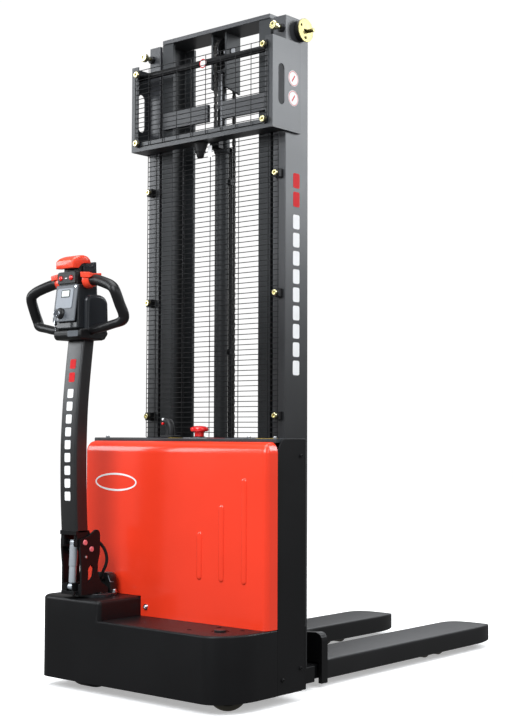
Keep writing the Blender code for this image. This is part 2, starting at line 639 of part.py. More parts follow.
def make_guards(finish):
    lower = grille((-0.2877, 0.7873), (0.2877, 1.7490), -0.0145, 4, 8, 0.005, 0.005)
    add("lower_guard", lower, finish["wire"], "truck")
    front, back, low, high, wide = -0.075, 0.066, 1.750, 2.040, 0.310
    sheet = 0.004
    box = add("upper_guard", block((-wide, front, low), (wide, back, high)), finish["mast"], "truck")
    face = OUTER_CHANNEL[1] + GAP
    slot = [
        *arc((-0.032, 1.942), (0.015, 0.015), 0, 180, 6),
        *arc((-0.032, 1.842), (0.015, 0.015), 180, 360, 6),
    ]
    cut(
        box,
        block((-wide + sheet, front + sheet, low + sheet), (wide - sheet, back + 0.01, high + 0.01)),
        block((-wide + 0.030, front - 0.01, low + 0.030), (wide - 0.030, front + 0.03, high + 0.01)),
        block((-face, -0.016, low - 0.01), (face, back + 0.01, low + 0.03)),
        extruded(slot, "X", -wide - 0.01, wide + 0.01),
    )
    lugs = (mirrored(block((face, 0.020, 1.80), (wide - 0.002, 0.060, 1.99)), side) for side in (-1, 1))
    join(box, *lugs, rod(0.010, (0, -0.045, 2.010), "X", -wide + 0.001, wide - 0.001, 16))
    upper = grille((-0.290, 1.765), (0.290, 2.027), front - GAP, 6, 3, 0.004, 0.004)
    add("upper_guard_mesh", upper, finish["wire"], "truck")


# ---- drive and tiller ----------------------------------------------------------------------------
def make_drive(finish):
    pivot("steer", STEER_AXIS, "truck")
    top = DRIVE_HOUSING_HEIGHT + GAP
    plate = rod(0.071, STEER_AXIS, "Z", top, top + 0.010, 36)
    disc = add("turntable", plate, finish["black"], "steer", STEER_AXIS)
    join(disc, rod(0.058, STEER_AXIS, "Z", 0.2553, top + 0.004, 28))
    drum = rod(0.058, STEER_AXIS, "Z", 0.2000, 0.2550, 28)
    case = add("drive_gearcase", drum, finish["black"], "steer", STEER_AXIS)
    hub = STEER_AXIS + Vector((0, 0, DRIVE_WHEEL_RADIUS))
    join(
        case,
        block(hub + Vector((0.038, -0.040, -0.040)), hub + Vector((0.056, 0.040, 0.128)), 0.006),
        rod(0.0140, hub, "X", -0.036, 0.045, 16),
    )
    pivot("drive_wheel_spin", hub, "steer")
    core = turned(
        [(0.0143, -0.032), (0.030, -0.032), (0.034, -0.020), (0.058, -0.026), (0.0657, -0.028),
         (0.0657, 0.028), (0.058, 0.026), (0.034, 0.030), (0.0143, 0.030)],
        hub, "X", 24,
    )
    add("drive_wheel_hub", core, finish["steel"], "drive_wheel_spin", hub)
    tyre = turned(
        [(0.066, -0.0325), (0.086, -0.0325), (DRIVE_WHEEL_RADIUS, -0.024), (DRIVE_WHEEL_RADIUS, 0.024),
         (0.086, 0.0325), (0.066, 0.0325)],
        hub, "X", 24,
    )
    add("drive_wheel_tyre", tyre, finish["rubber"], "drive_wheel_spin", hub)
    motor_at = STEER_AXIS + Vector((0.010, 0.033, 0))
    cap = turned(
        [(0, 0.2981), (0.040, 0.2981), (0.040, 0.325), (0.034, 0.345), (0.020, 0.356), (0, 0.358)],
        motor_at, "Z", 24,
    )
    motor = add("drive_motor_cap", cap, finish["plastic"], "steer", STEER_AXIS)
    cut(motor, block(STEER_AXIS + Vector((-0.1, -0.1, 0.2)), STEER_AXIS + Vector((0.1, 0.0227, 0.5))))


def make_tiller(finish):
    centre = STEER_AXIS.x
    foot = DRIVE_HOUSING_HEIGHT + 0.010 + 2 * GAP
    cheek = [
        (-0.380, foot), (-0.266, foot), (-0.2655, 0.312), (-0.298, 0.334), (-0.311, 0.362), (-0.311, 0.395),
        (-0.303, 0.425), (-0.303, 0.478), *arc((-0.318, 0.482), (0.015, 0.016), 0, 110, 4), (-0.352, 0.478),
        (-0.386, 0.470), (-0.386, 0.440), (-0.380, 0.385),
    ]
    window = [(-0.352, 0.334), (-0.352, 0.376), (-0.340, 0.392), (-0.328, 0.378), (-0.332, 0.352)]
    solid = extruded(cheek, "X", centre - 0.046, centre + 0.046)
    bracket = add("tiller_bracket", solid, finish["black"], "steer", STEER_AXIS)
    cut(
        bracket,
        block((centre - 0.0383, -0.5, 0.3303), (centre + 0.0383, -0.2, 0.6)),
        block((centre - 0.0303, -0.5, foot + 0.008), (centre + 0.0303, -0.340, 0.34)),
        extruded(window, "X", centre - 0.06, centre + 0.06),
    )
    ears = (sorted((side * 0.0115, side * 0.0180)) for side in (-1, 1))
    join(
        bracket,
        rod(0.0080, TILLER_PIVOT, "X", -0.049, 0.049, 16),
        block((centre - 0.030, -0.396, 0.299), (centre + 0.030, -0.350, 0.309)),
        *(block((centre + ear[0], -0.390, 0.305), (centre + ear[1], -0.364, 0.334)) for ear in ears),
        rod(0.0060, SPRING_FOOT, "X", -0.016, 0.016, 16),
    )
    pivot("tiller_tilt", TILLER_PIVOT, "steer")
    arm_outline = [
        (-0.394, 0.492), (-0.401, 0.620), (-0.402, 0.760), (-0.396, 0.880), (-0.387, 0.980),
        (-0.374, 1.094), (-0.326, 1.094), (-0.339, 0.980), (-0.348, 0.880), (-0.352, 0.760),
        (-0.351, 0.620), (-0.344, 0.492),
    ]
    bar = extruded(arm_outline, "X", centre - 0.0375, centre + 0.0375)
    arm = add("tiller_arm", bar, finish["black"], "tiller_tilt", TILLER_PIVOT)
    lug = [
        (-0.392, 0.497), (-0.392, 0.455), (-0.372, 0.444),
        *arc((-0.340, 0.438), (0.022, 0.022), 200, 360, 7), (-0.322, 0.470), (-0.345, 0.497),
    ]
    join(
        arm,
        block((centre - 0.0375, -0.396, 0.484), (centre + 0.0375, -0.340, 0.4965)),
        extruded(lug, "X", centre - 0.0375, centre - 0.0225),
        extruded(lug, "X", centre + 0.0225, centre + 0.0375),
        *(rod(0.0070, SPRING_EYE, "X", *sorted((side * 0.0105, side * 0.0300)), 16) for side in (-1, 1)),
    )
    cut(arm, rod(0.0083, TILLER_PIVOT, "X", -0.06, 0.06, 16))
    make_gas_spring(finish)
    make_head(finish, centre)
    route = [(centre + x, y, z) for x, y, z in CABLE_ROUTE]
    tube("tiller_cable", smooth_route(route, 3), CABLE_RADIUS, finish["plastic"], "steer", STEER_AXIS, 2)


def make_gas_spring(finish):
    """Telescopes between the bracket's shelf and the arm. Its top eye lies between two stub pins of the
    arm and is left free of them."""
    pivot("spring_tilt", SPRING_FOOT, "steer")
    pivot("spring_slide", SPRING_FOOT, "spring_tilt")
    along = SPRING_EYE - SPRING_FOOT
    length = along.length
    place = Matrix.Translation(SPRING_FOOT) @ Matrix.Rotation(-atan2(along.y, along.z), 4, "X")
    origin = (0, 0, 0)
    lower = rod(0.0110, origin, "Z", 0.015, 0.074, 20)
    foot_eye = ring(0.0063, 0.0110, origin, "X", -0.0100, 0.0100, 20)
    neck = block((-0.0070, -0.0060, 0.0080), (0.0070, 0.0060, 0.0200))
    upper = turned(
        [(0, 0.1240), (0.0113, 0.1240), (0.0113, 0.0640), (0.0127, 0.0640), (0.0127, 0.1300), (0, 0.1300)],
        origin, "Z", 20,
    )
    top_eye = rod(0.0100, (0, 0, length - 0.002), "X", -0.0095, 0.0095, 20)
    for shape in (lower, foot_eye, neck, upper, top_eye):
        bmesh.ops.transform(shape, matrix=place, verts=shape.verts)
    join(add("gas_spring_tube", lower, finish["steel"], "spring_tilt", SPRING_FOOT), foot_eye, neck)
    join(add("gas_spring_sleeve", upper, finish["steel"], "spring_slide", SPRING_FOOT), top_eye)


def make_head(finish, centre):
    black, at = finish["plastic"], TILLER_PIVOT
    floor = 1.0943
    column_side = [
        (-0.412, floor), (-0.414, 1.130), (-0.426, 1.146), (-0.412, 1.240), (-0.410, HEAD_TOP),
        (-0.330, HEAD_TOP), (-0.318, 1.240), (-0.290, 1.225), (-0.282, 1.150), (-0.292, 1.100),
        (-0.310, floor),
    ]
    solid = extruded(column_side, "X", centre - 0.052, centre + 0.052)
    column = add("head_column", solid, finish["grey"], "tiller_tilt", at)
    wells = ((centre + x - 0.0083, centre + x + 0.0083) for x in (-0.026, 0.022))
    cut(
        column,
        *(block((well[0], -0.45, 1.2797), (well[1], -0.400, 1.2963)) for well in wells),
        rod(0.0083, THROTTLE_AXIS, "X", -0.07, 0.07, 16),
        block((centre - 0.0253, -0.398, HEAD_TOP - 0.014), (centre + 0.0253, -0.345, HEAD_TOP + 0.02)),
        rod(0.0073, (centre - 0.016, 0, 1.176), "Y", -0.5, -0.395, 16),
    )
    for side, name in ((-1, "left"), (1, "right")):
        grip = [
            (0.0820, -0.375, 1.2800), (0.100, -0.376, 1.2780), (0.148, -0.386, 1.266),
            (0.180, -0.391, 1.254), (0.197, -0.392, 1.238), (0.201, -0.375, 1.200),
            (0.202, -0.358, 1.165), (0.190, -0.357, 1.147), (0.148, -0.360, 1.137),
            (0.112, -0.362, 1.130), (0.0550, -0.362, 1.124),
        ]
        route = [(centre + side * x, y, z) for x, y, z in grip]
        tube(f"grip_{name}", route, 0.0165, black, "tiller_tilt", at, 2)
    pivot("belly_button_slide", at, "tiller_tilt")
    cap_side = [
        (-0.424, 1.3183), (-0.425, 1.343), (-0.412, 1.354), (-0.382, 1.364), (-0.360, 1.362),
        (-0.343, 1.350), (-0.340, 1.3400), (-0.356, 1.3383), (-0.376, 1.3363), (-0.396, 1.3183),
    ]
    solid = extruded(cap_side, "X", centre - 0.041, centre + 0.041)
    cap = add("belly_button", solid, finish["red"], "belly_button_slide", at)
    join(cap, block((centre - 0.025, -0.384, HEAD_TOP - 0.006), (centre + 0.025, -0.352, 1.345)))
    pivot("throttle_turn", THROTTLE_AXIS, "tiller_tilt")
    shaft = rod(0.0080, THROTTLE_AXIS, "X", -0.060, 0.060, 16)
    throttle = add("butterfly_throttle", shaft, finish["red"], "throttle_turn", THROTTLE_AXIS)
    wing = [
        (-0.030, 0.018), (-0.029, 0.031), (0, 0.0240), (0.032, 0.031), (0.034, 0.017), (0.012, 0.0195),
        (-0.012, 0.0195),
    ]
    wing = [(THROTTLE_AXIS.y + y, THROTTLE_AXIS.z + z) for y, z in wing]
    for side in (-1, 1):
        join(
            throttle,
            rod(0.0205, THROTTLE_AXIS, "X", *sorted((side * 0.0525, side * 0.0785)), 20),
            extruded(wing, "X", *sorted((centre + side * 0.0525, centre + side * 0.098))),
        )
    for x, name in ((-0.026, "lift"), (0.022, "lower")):
        spot = Vector((centre + x, -0.410, 1.288))
        pivot(f"{name}_button_slide", spot, "tiller_tilt")
        button = block((-0.008, -0.006, -0.008), (0.008, 0.0065, 0.008), 0.0015)
        bmesh.ops.translate(button, verts=button.verts, vec=spot)
        add(f"{name}_button", button, finish["red"], f"{name}_button_slide", spot)
    lock = Vector((centre - 0.016, -0.430, 1.176))
    pivot("key_turn", lock, "tiller_tilt")
    key = rod(0.0070, lock, "Y", -0.008, 0.030, 16)
    blade = block(lock + Vector((-0.0015, -0.030, -0.011)), lock + Vector((0.0015, -0.006, 0.011)))
    join(add("ignition_key", key, finish["steel"], "key_turn", lock), blade)


def main():
    for old in list(bpy.data.objects):
        bpy.data.objects.remove(old, do_unlink=True)
    pivot("truck", (0, 0, 0))
    finish = make_materials()
    make_chassis(finish)
    make_hood(finish)
    make_power_unit(finish)
    make_emergency_stop(finish)
    make_outer_mast(finish)
    make_lift(finish)
    make_carriage(finish)
    make_legs(finish)
    make_caster(finish)
    make_guards(finish)
    make_drive(finish)
    make_tiller(finish)


main()
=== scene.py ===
"""Looks of the walkie stacker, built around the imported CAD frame. Lengths are in metres.

Shapes are written in truck coordinates: X = 0 is the middle of the mast, Y = 0 its operator-side face, the
forks point along +Y and the floor is Z = 0. TRUCK shifts them to where the frame stands.
"""

from math import atan2, cos, pi, radians, sin

import bmesh
import bpy
from mathutils import Matrix, Vector


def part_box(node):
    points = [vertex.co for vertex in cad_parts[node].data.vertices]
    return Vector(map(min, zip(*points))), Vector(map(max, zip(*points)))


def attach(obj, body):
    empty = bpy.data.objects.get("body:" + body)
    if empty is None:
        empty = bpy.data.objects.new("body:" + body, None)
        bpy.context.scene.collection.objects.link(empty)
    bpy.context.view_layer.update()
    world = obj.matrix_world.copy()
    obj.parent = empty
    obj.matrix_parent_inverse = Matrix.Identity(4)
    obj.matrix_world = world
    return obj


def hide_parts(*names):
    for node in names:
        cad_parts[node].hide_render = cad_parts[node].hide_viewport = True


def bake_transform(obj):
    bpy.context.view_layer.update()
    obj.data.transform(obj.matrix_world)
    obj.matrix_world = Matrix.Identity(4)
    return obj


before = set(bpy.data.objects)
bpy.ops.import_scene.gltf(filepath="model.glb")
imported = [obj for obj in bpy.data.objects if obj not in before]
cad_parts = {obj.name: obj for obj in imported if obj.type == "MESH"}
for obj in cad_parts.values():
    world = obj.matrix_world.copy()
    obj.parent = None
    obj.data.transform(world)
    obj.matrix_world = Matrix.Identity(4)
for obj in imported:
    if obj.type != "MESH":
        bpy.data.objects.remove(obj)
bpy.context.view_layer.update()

# ---- dimensions ----------------------------------------------------------------------------------
HALF_WIDTH = 0.400
FRONT = -0.385
chassis_low, chassis_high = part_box("chassis")
TRUCK = Vector(((chassis_low.x + chassis_high.x) / 2, chassis_low.y - FRONT, 0))
SIDES = (("left", -1), ("right", 1))


def outward(side, near, far):
    """Two distances from the middle as low and high X on one side."""
    return sorted((side * near, side * far))


def local_box(node):
    """A CAD node's corners in truck coordinates."""
    low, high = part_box(node)
    return low - TRUCK, high - TRUCK


CHASSIS_BOTTOM, HOUSING_TOP = 0.032, 0.287
SHELF = 0.226
HOUSING_RIGHT = -0.119
WALL = 0.006
PLATE_FRONT, PLATE_BACK, PLATE_TOP = -0.154, -0.026, 0.787
HOOD_LOW, HOOD_HIGH = local_box("hood")
STOP_LOW, STOP_HIGH = local_box("emergency_stop_button")
STOP = Vector(((STOP_LOW.x + STOP_HIGH.x) / 2, (STOP_LOW.y + STOP_HIGH.y) / 2, PLATE_TOP))
CASTER = Vector((0.296, -0.290, 0))
CASTER_HEADING, CASTER_HALF = -48, 0.027
MAST_DEPTH = 0.115
MAST_TOP = 2.122
STEER = Vector((-0.249, -0.282, 0))
TILLER_X = STEER.x
PIVOT = Vector((TILLER_X, -0.340, 0.438))
SPRING_FOOT = Vector((TILLER_X, -0.377, 0.322))
SPRING_EYE = Vector((TILLER_X, -0.371, 0.461))
THROTTLE = Vector((TILLER_X, -0.375, 1.2800))
FACE = Vector((0, -0.4275, 1.150))
FACE_LEAN = atan2(0.14, 1)
PULLEY = Vector((0, 0.052, 2.062))
CHAIN_RADIUS, CHAIN_THICKNESS = 0.0425, 0.007
CHAIN_PITCH = 0.0127
WIRE_PITCH = 0.0164
ROLLER_HUB = Vector((0, 0.075, 2.084))
CHANNEL_WEB, CHANNEL_FLANGE, CHANNEL_FILLET = 0.010, 0.012, 0.006
GAP = 0.0003
MARK_GAP = 0.012
WELD_DISTANCE = 0.00005
SHARP_ANGLE = 38

CAMERA_PLACE = Vector((2.88895, -3.19186, 0.80454))
CAMERA_TURN, CAMERA_PITCH, CAMERA_ROLL = 40.27, 2.97, 0.20
CAMERA_LENS = 65.47
SENSOR_WIDTH = 36.0


# ---- materials -----------------------------------------------------------------------------------
RELIEF_DEPTH = 0.0004
POLISH_SPREAD = 0.06
COAT_ROUGHNESS = 0.06


def surface(name, colour, roughness, metallic=0.0, coat=0.0, mottle=0.10, mottle_scale=5.0, grain=0.04,
            grain_scale=420.0, stretch=(1, 1, 1), fade=None, specular=0.5):
    """A Principled material with cloudy colour, uneven roughness and a fine grain in its relief.

    The painted light argument is (low Z, high Z, factor): the colour is multiplied by factor at the high
    end, so the upper part is painted lighter as if lit from above."""
    made = bpy.data.materials.new(name)
    made.use_nodes = True
    nodes, links = made.node_tree.nodes, made.node_tree.links
    shader = nodes["Principled BSDF"]
    shader.inputs["Metallic"].default_value = metallic
    shader.inputs["Coat Weight"].default_value = coat
    shader.inputs["Coat Roughness"].default_value = COAT_ROUGHNESS
    shader.inputs["Specular IOR Level"].default_value = specular
    place = nodes.new("ShaderNodeTexCoord").outputs["Object"]
    mapping = nodes.new("ShaderNodeMapping")
    mapping.inputs["Scale"].default_value = stretch
    links.new(place, mapping.inputs["Vector"])

    clouds = nodes.new("ShaderNodeTexNoise")
    clouds.inputs["Scale"].default_value = mottle_scale
    clouds.inputs["Detail"].default_value = 5.0
    links.new(mapping.outputs["Vector"], clouds.inputs["Vector"])
    tint = nodes.new("ShaderNodeValToRGB")
    tint.color_ramp.elements[0].position = 0.3
    tint.color_ramp.elements[1].position = 0.7
    tint.color_ramp.elements[0].color = (*[channel * (1 - mottle) for channel in colour], 1)
    tint.color_ramp.elements[1].color = (*[min(1.0, channel * (1 + mottle)) for channel in colour], 1)
    links.new(clouds.outputs["Fac"], tint.inputs["Fac"])
    last = tint.outputs["Color"]
    # Painted light: the colour is scaled up towards the high end, as if the top were more lit.
    if fade:
        low, high, factor = fade
        split = nodes.new("ShaderNodeSeparateXYZ")
        links.new(place, split.inputs["Vector"])
        height = nodes.new("ShaderNodeMapRange")
        height.inputs["From Min"].default_value = low
        height.inputs["From Max"].default_value = high
        height.inputs["To Min"].default_value = 1.0
        height.inputs["To Max"].default_value = factor
        links.new(split.outputs["Z"], height.inputs["Value"])
        scaled = nodes.new("ShaderNodeVectorMath")
        scaled.operation = "SCALE"
        links.new(last, scaled.inputs["Vector"])
        links.new(height.outputs["Result"], scaled.inputs["Scale"])
        last = scaled.outputs["Vector"]
    links.new(last, shader.inputs["Base Color"])

    polish = nodes.new("ShaderNodeMapRange")
    polish.inputs["To Min"].default_value = max(0.02, roughness - POLISH_SPREAD)
    polish.inputs["To Max"].default_value = min(1.0, roughness + POLISH_SPREAD)
    links.new(clouds.outputs["Fac"], polish.inputs["Value"])
    links.new(polish.outputs["Result"], shader.inputs["Roughness"])

    fine = nodes.new("ShaderNodeTexNoise")
    fine.inputs["Scale"].default_value = grain_scale
    fine.inputs["Detail"].default_value = 3.0
    links.new(mapping.outputs["Vector"], fine.inputs["Vector"])
    relief = nodes.new("ShaderNodeBump")
    relief.inputs["Strength"].default_value = grain
    relief.inputs["Distance"].default_value = RELIEF_DEPTH
    links.new(fine.outputs["Fac"], relief.inputs["Height"])
    links.new(relief.outputs["Normal"], shader.inputs["Normal"])
    return made


def make_finishes():
    paint, steel = surface, surface
    return {
        "red": paint("hood_red", (0.93, 0.048, 0.016), 0.24, coat=0.3, mottle=0.03, grain=0.05,
                     grain_scale=150.0),
        "black": paint("powder_black", (0.0062, 0.0062, 0.0068), 0.40, mottle=0.12, grain=0.30,
                       grain_scale=620.0, specular=0.20),
        # Painted light: the outer and inner mast greys get lighter towards the top, as if lit from above.
        "mast": paint("mast_grey", (0.0125, 0.0130, 0.0145), 0.38, mottle=0.08, grain=0.20,
                      grain_scale=500.0,
                      fade=(0.9, 2.1, 3.0), specular=0.60),
        "inside": paint("mast_inner_grey", (0.014, 0.015, 0.016), 0.45, mottle=0.10, grain=0.15,
                        fade=(0.9, 2.1, 2.2), specular=0.25),
        "guard": paint("guard_grey", (0.017, 0.019, 0.022), 0.38, mottle=0.06, grain=0.20,
                       grain_scale=500.0,
                       specular=0.60),
        "arm": paint("arm_black", (0.0110, 0.0112, 0.0120), 0.34, mottle=0.10, grain=0.25,
                     grain_scale=620.0,
                     specular=0.60),
        "deck": paint("deck_grey", (0.026, 0.029, 0.033), 0.40, mottle=0.06, grain=0.25, grain_scale=900.0,
                      specular=0.35),
        # Painted light: the fork's top face is painted 2.8 times lighter than its dark sides, as if lit
        # from above.
        "fork": paint("fork_grey", (0.0090, 0.0090, 0.0095), 0.45, mottle=0.12, grain=0.20,
                      grain_scale=300.0,
                      fade=(0.076, 0.086, 2.8), specular=0.25),
        "moulded": paint("moulded_black", (0.0075, 0.0075, 0.0080), 0.36, mottle=0.06, grain=0.25,
                         grain_scale=800.0, specular=0.30),
        "gloss": paint("shroud_grey", (0.016, 0.018, 0.021), 0.20, coat=0.2, mottle=0.05, grain=0.08,
                       specular=0.35),
        "panel": paint("panel_grey", (0.070, 0.078, 0.090), 0.42, mottle=0.04, grain=0.25,
                       grain_scale=900.0),
        "label": paint("label_grey", (0.20, 0.22, 0.25), 0.35, mottle=0.08, mottle_scale=30.0, grain=0.05),
        "display": paint("display_pale", (0.52, 0.57, 0.54), 0.20, coat=0.2, mottle=0.04, mottle_scale=60.0,
                         grain=0.0),
        "control": paint("control_red", (0.88, 0.060, 0.022), 0.26, coat=0.3, mottle=0.03, grain=0.08,
                         grain_scale=700.0),
        "stop": paint("stop_red", (0.72, 0.012, 0.012), 0.20, coat=0.5, mottle=0.03, grain=0.04),
        "steel": steel("bright_steel", (0.62, 0.64, 0.67), 0.22, 1.0, mottle=0.06, grain=0.08,
                       stretch=(1, 1, 0.1)),
        "rod": steel("dull_steel", (0.085, 0.086, 0.090), 0.34, 1.0, mottle=0.06, grain=0.08,
                     stretch=(1, 1, 0.1)),
        "spring": steel("spring_silver", (0.50, 0.54, 0.58), 0.32, 0.35, mottle=0.05, grain=0.06,
                        stretch=(1, 1, 0.08)),
        "zinc": steel("yellow_zinc", (0.72, 0.66, 0.38), 0.24, 1.0, mottle=0.22, mottle_scale=60.0,
                      grain=0.05),
        "chain": steel("oiled_chain", (0.040, 0.038, 0.036), 0.50, 0.6, mottle=0.3, mottle_scale=90.0,
                       grain=0.1),
        "wire": paint("guard_wire", (0.0070, 0.0070, 0.0075), 0.45, mottle=0.1, grain=0.1, specular=0.2),
        "rubber": paint("tread_rubber", (0.0080, 0.0080, 0.0080), 0.75, mottle=0.2, mottle_scale=20.0,
                        grain=0.5,
                        specular=0.25),
        "urethane": paint("urethane", (0.050, 0.045, 0.030), 0.38, mottle=0.15, mottle_scale=20.0,
                          grain=0.1),
        "battery": paint("battery_case", (0.03, 0.05, 0.09), 0.5, grain=0.2),
        "disc": steel("cap_zinc", (0.24, 0.21, 0.095), 0.30, 1.0, mottle=0.22, mottle_scale=60.0,
                      grain=0.05),
        "white": paint("print_white", (0.90, 0.90, 0.90), 0.60, mottle=0.03, mottle_scale=30.0, grain=0.02,
                       specular=0.2),
        "print_red": paint("print_red", (0.60, 0.014, 0.018), 0.60, mottle=0.04, mottle_scale=30.0,
                           grain=0.02,
                           specular=0.2),
        "print_yellow": paint("print_yellow", (0.85, 0.55, 0.05), 0.35, mottle=0.04, mottle_scale=30.0,
                              grain=0.02),
        "pink": paint("pin_cap_red", (0.70, 0.16, 0.18), 0.35, mottle=0.1, mottle_scale=80.0, grain=0.05),
    }


# ---- shape helpers -------------------------------------------------------------------------------
def arc(centre, radii, start, end, steps):
    """Points on an ellipse's arc, with angles in degrees."""
    angles = [radians(start + (end - start) * i / steps) for i in range(steps + 1)]
    return [(centre[0] + radii[0] * cos(a), centre[1] + radii[1] * sin(a)) for a in angles]


def rounded_rectangle(low, high, radius, steps=4):
    """A rectangle's outline between two corners, with its corners rounded."""
    (a0, b0), (a1, b1) = low, high
    return [
        *arc((a1 - radius, b1 - radius), (radius, radius), 0, 90, steps),
        *arc((a0 + radius, b1 - radius), (radius, radius), 90, 180, steps),
        *arc((a0 + radius, b0 + radius), (radius, radius), 180, 270, steps),
        *arc((a1 - radius, b0 + radius), (radius, radius), 270, 360, steps),
    ]


def smooth_route(points, steps):
    """Points on a Catmull-Rom curve through a route's own points."""
    route = [Vector(point) for point in points]
    ends = [2 * route[0] - route[1], *route, 2 * route[-1] - route[-2]]
    made = []
    for before, start, end, after in zip(ends, ends[1:], ends[2:], ends[3:]):
        for i in range(steps):
            t = i / steps
            made.append(
                0.5 * (2 * start + (end - before) * t + (2 * before - 5 * start + 4 * end - after) * t**2
                       + (3 * start - before - 3 * end + after) * t**3)
            )
    return made + [route[-1]]


def block(low, high):
    shape = bmesh.new()
    bmesh.ops.create_cube(shape, size=1.0)
    low, high = Vector(low), Vector(high)
    bmesh.ops.scale(shape, verts=shape.verts, vec=high - low)
    bmesh.ops.translate(shape, verts=shape.verts, vec=(low + high) / 2)
    return shape


def extruded(outline, axis, low, high):
    """A closed outline of the two other coordinates, in X, Y, Z order, drawn out along an axis."""
    shape = bmesh.new()
    places = {"X": lambda a, b: (low, a, b), "Y": lambda a, b: (a, low, b), "Z": lambda a, b: (a, b, low)}
    face = shape.faces.new([shape.verts.new(places[axis](*point)) for point in outline])
    swept = bmesh.ops.extrude_face_region(shape, geom=[face])
    tops = [item for item in swept["geom"] if isinstance(item, bmesh.types.BMVert)]
    step = {"X": (high - low, 0, 0), "Y": (0, high - low, 0), "Z": (0, 0, high - low)}[axis]
    bmesh.ops.translate(shape, verts=tops, vec=step)
    return shape


def lofted(rings):
    """Rings of the same number of 3-D points, skinned one to the next, with the first and last closed."""
    shape = bmesh.new()
    loops = [[shape.verts.new(point) for point in points] for points in rings]
    for first, second in zip(loops, loops[1:]):
        for i in range(len(first)):
            j = (i + 1) % len(first)
            shape.faces.new((first[i], first[j], second[j], second[i]))
    shape.faces.new(loops[0])
    shape.faces.new(loops[-1])
    return shape


def axis_turn(axis):
    """The turn that lays a shape made along Z along another axis."""
    turns = {"X": Matrix.Rotation(pi / 2, 4, "Y"), "Y": Matrix.Rotation(-pi / 2, 4, "X"), "Z": Matrix()}
    return turns[axis]


def turned(profile, at, axis, sides=40):
    """A closed profile of (radius, height) points, spun about an axis through a point."""
    shape = bmesh.new()
    ring = [shape.verts.new((radius, 0, height)) for radius, height in profile]
    loop = [shape.edges.new((ring[i], ring[(i + 1) % len(ring)])) for i in range(len(ring))]
    bmesh.ops.spin(
        shape, geom=ring + loop, cent=(0, 0, 0), axis=(0, 0, 1), angle=2 * pi, steps=sides,
        use_merge=True, use_duplicate=False,
    )
    bmesh.ops.remove_doubles(shape, verts=shape.verts, dist=1e-6)
    bmesh.ops.dissolve_degenerate(shape, edges=shape.edges, dist=1e-6)
    bmesh.ops.transform(shape, matrix=Matrix.Translation(at) @ axis_turn(axis), verts=shape.verts)
    return shape


def rod(radius, at, axis, low, high, sides=32):
    return turned([(0, low), (radius, low), (radius, high), (0, high)], at, axis, sides)


def rounded_rod(radius, edge, at, axis, low, high, sides=40):
    """A cylinder whose two rims are rounded."""
    low_rim = arc((radius - edge, low + edge), (edge, edge), -90, 0, 4)
    high_rim = arc((radius - edge, high - edge), (edge, edge), 0, 90, 4)
    return turned([(0, low), *low_rim, *high_rim, (0, high)], at, axis, sides)


def ring(inner, outer, at, axis, low, high, sides=40):
    return turned([(inner, low), (outer, low), (outer, high), (inner, high)], at, axis, sides)


def merged(*shapes):
    """Several bmeshes copied into one."""
    whole = bmesh.new()
    for shape in shapes:
        mesh = bpy.data.meshes.new("part")
        shape.to_mesh(mesh)
        whole.from_mesh(mesh)
        shape.free()
        bpy.data.meshes.remove(mesh)
    return whole


def mirrored(shape, side):
    if side < 0:
        bmesh.ops.scale(shape, verts=shape.verts, vec=(-1, 1, 1))
        bmesh.ops.reverse_faces(shape, faces=shape.faces)
    return shape


def moved(shape, matrix):
    bmesh.ops.transform(shape, matrix=matrix, verts=shape.verts)
    return shape


def about(point, turn):
    """A turn about a point instead of the origin."""
    point = Vector(point)
    return Matrix.Translation(point) @ turn @ Matrix.Translation(-point)


def raw_object(name, shape, finish):
    """A bmesh as an object whose mesh holds its place, so that the object stands at the origin."""
    bmesh.ops.recalc_face_normals(shape, faces=shape.faces)
    bmesh.ops.translate(shape, verts=shape.verts, vec=TRUCK)
    mesh = bpy.data.meshes.new(name)
    shape.to_mesh(mesh)
    shape.free()
    mesh.materials.append(finish)
    made = bpy.data.objects.new(name, mesh)
    bpy.context.scene.collection.objects.link(made)
    return made


def booleaned(made, operation, *tools):
    """Applies Booleans to an object and removes their helpers."""
    for source in tools:
        helper = raw_object("helper", source, made.data.materials[0])
        boolean = made.modifiers.new("boolean", "BOOLEAN")
        boolean.operation = operation
        boolean.object = helper
        bpy.context.view_layer.update()
        graph = bpy.context.evaluated_depsgraph_get()
        result = bpy.data.meshes.new_from_object(made.evaluated_get(graph))
        made.modifiers.clear()
        old, made.data = made.data, result
        bpy.data.meshes.remove(old)
        bpy.data.objects.remove(helper)
    return made


def softened(made, width, segments=2, sharp=SHARP_ANGLE):
    """Rounds the edges that turn by more than an angle in degrees."""
    rounding = made.modifiers.new("edges", "BEVEL")
    rounding.width = width
    rounding.segments = segments
    rounding.limit_method = "ANGLE"
    rounding.angle_limit = radians(sharp)
    rounding.harden_normals = True


def finished(made, body, replaces=(), bevel=0.0, segments=2, sharp=SHARP_ANGLE):
    """Smooth shading, rounded edges, and the body that the piece rides on."""
    made.data.shade_smooth()
    made.data.set_sharp_from_angle(angle=radians(sharp))
    if bevel:
        softened(made, bevel, segments, sharp)
    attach(made, body)
    if replaces:
        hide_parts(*replaces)
    return made


def piece(name, shape, finish, body, replaces=(), bevel=0.0, segments=2, sharp=SHARP_ANGLE):
    return finished(raw_object(name, shape, finish), body, replaces, bevel, segments, sharp)


def dressed(node, finish, bevel=0.0012):
    """A CAD node that stays: its finish, and softened edges."""
    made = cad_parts[node]
    made.data.materials.clear()
    made.data.materials.append(finish)
    weld = made.modifiers.new("weld", "WELD")
    weld.merge_threshold = WELD_DISTANCE
    if bevel:
        softened(made, bevel)
    return made


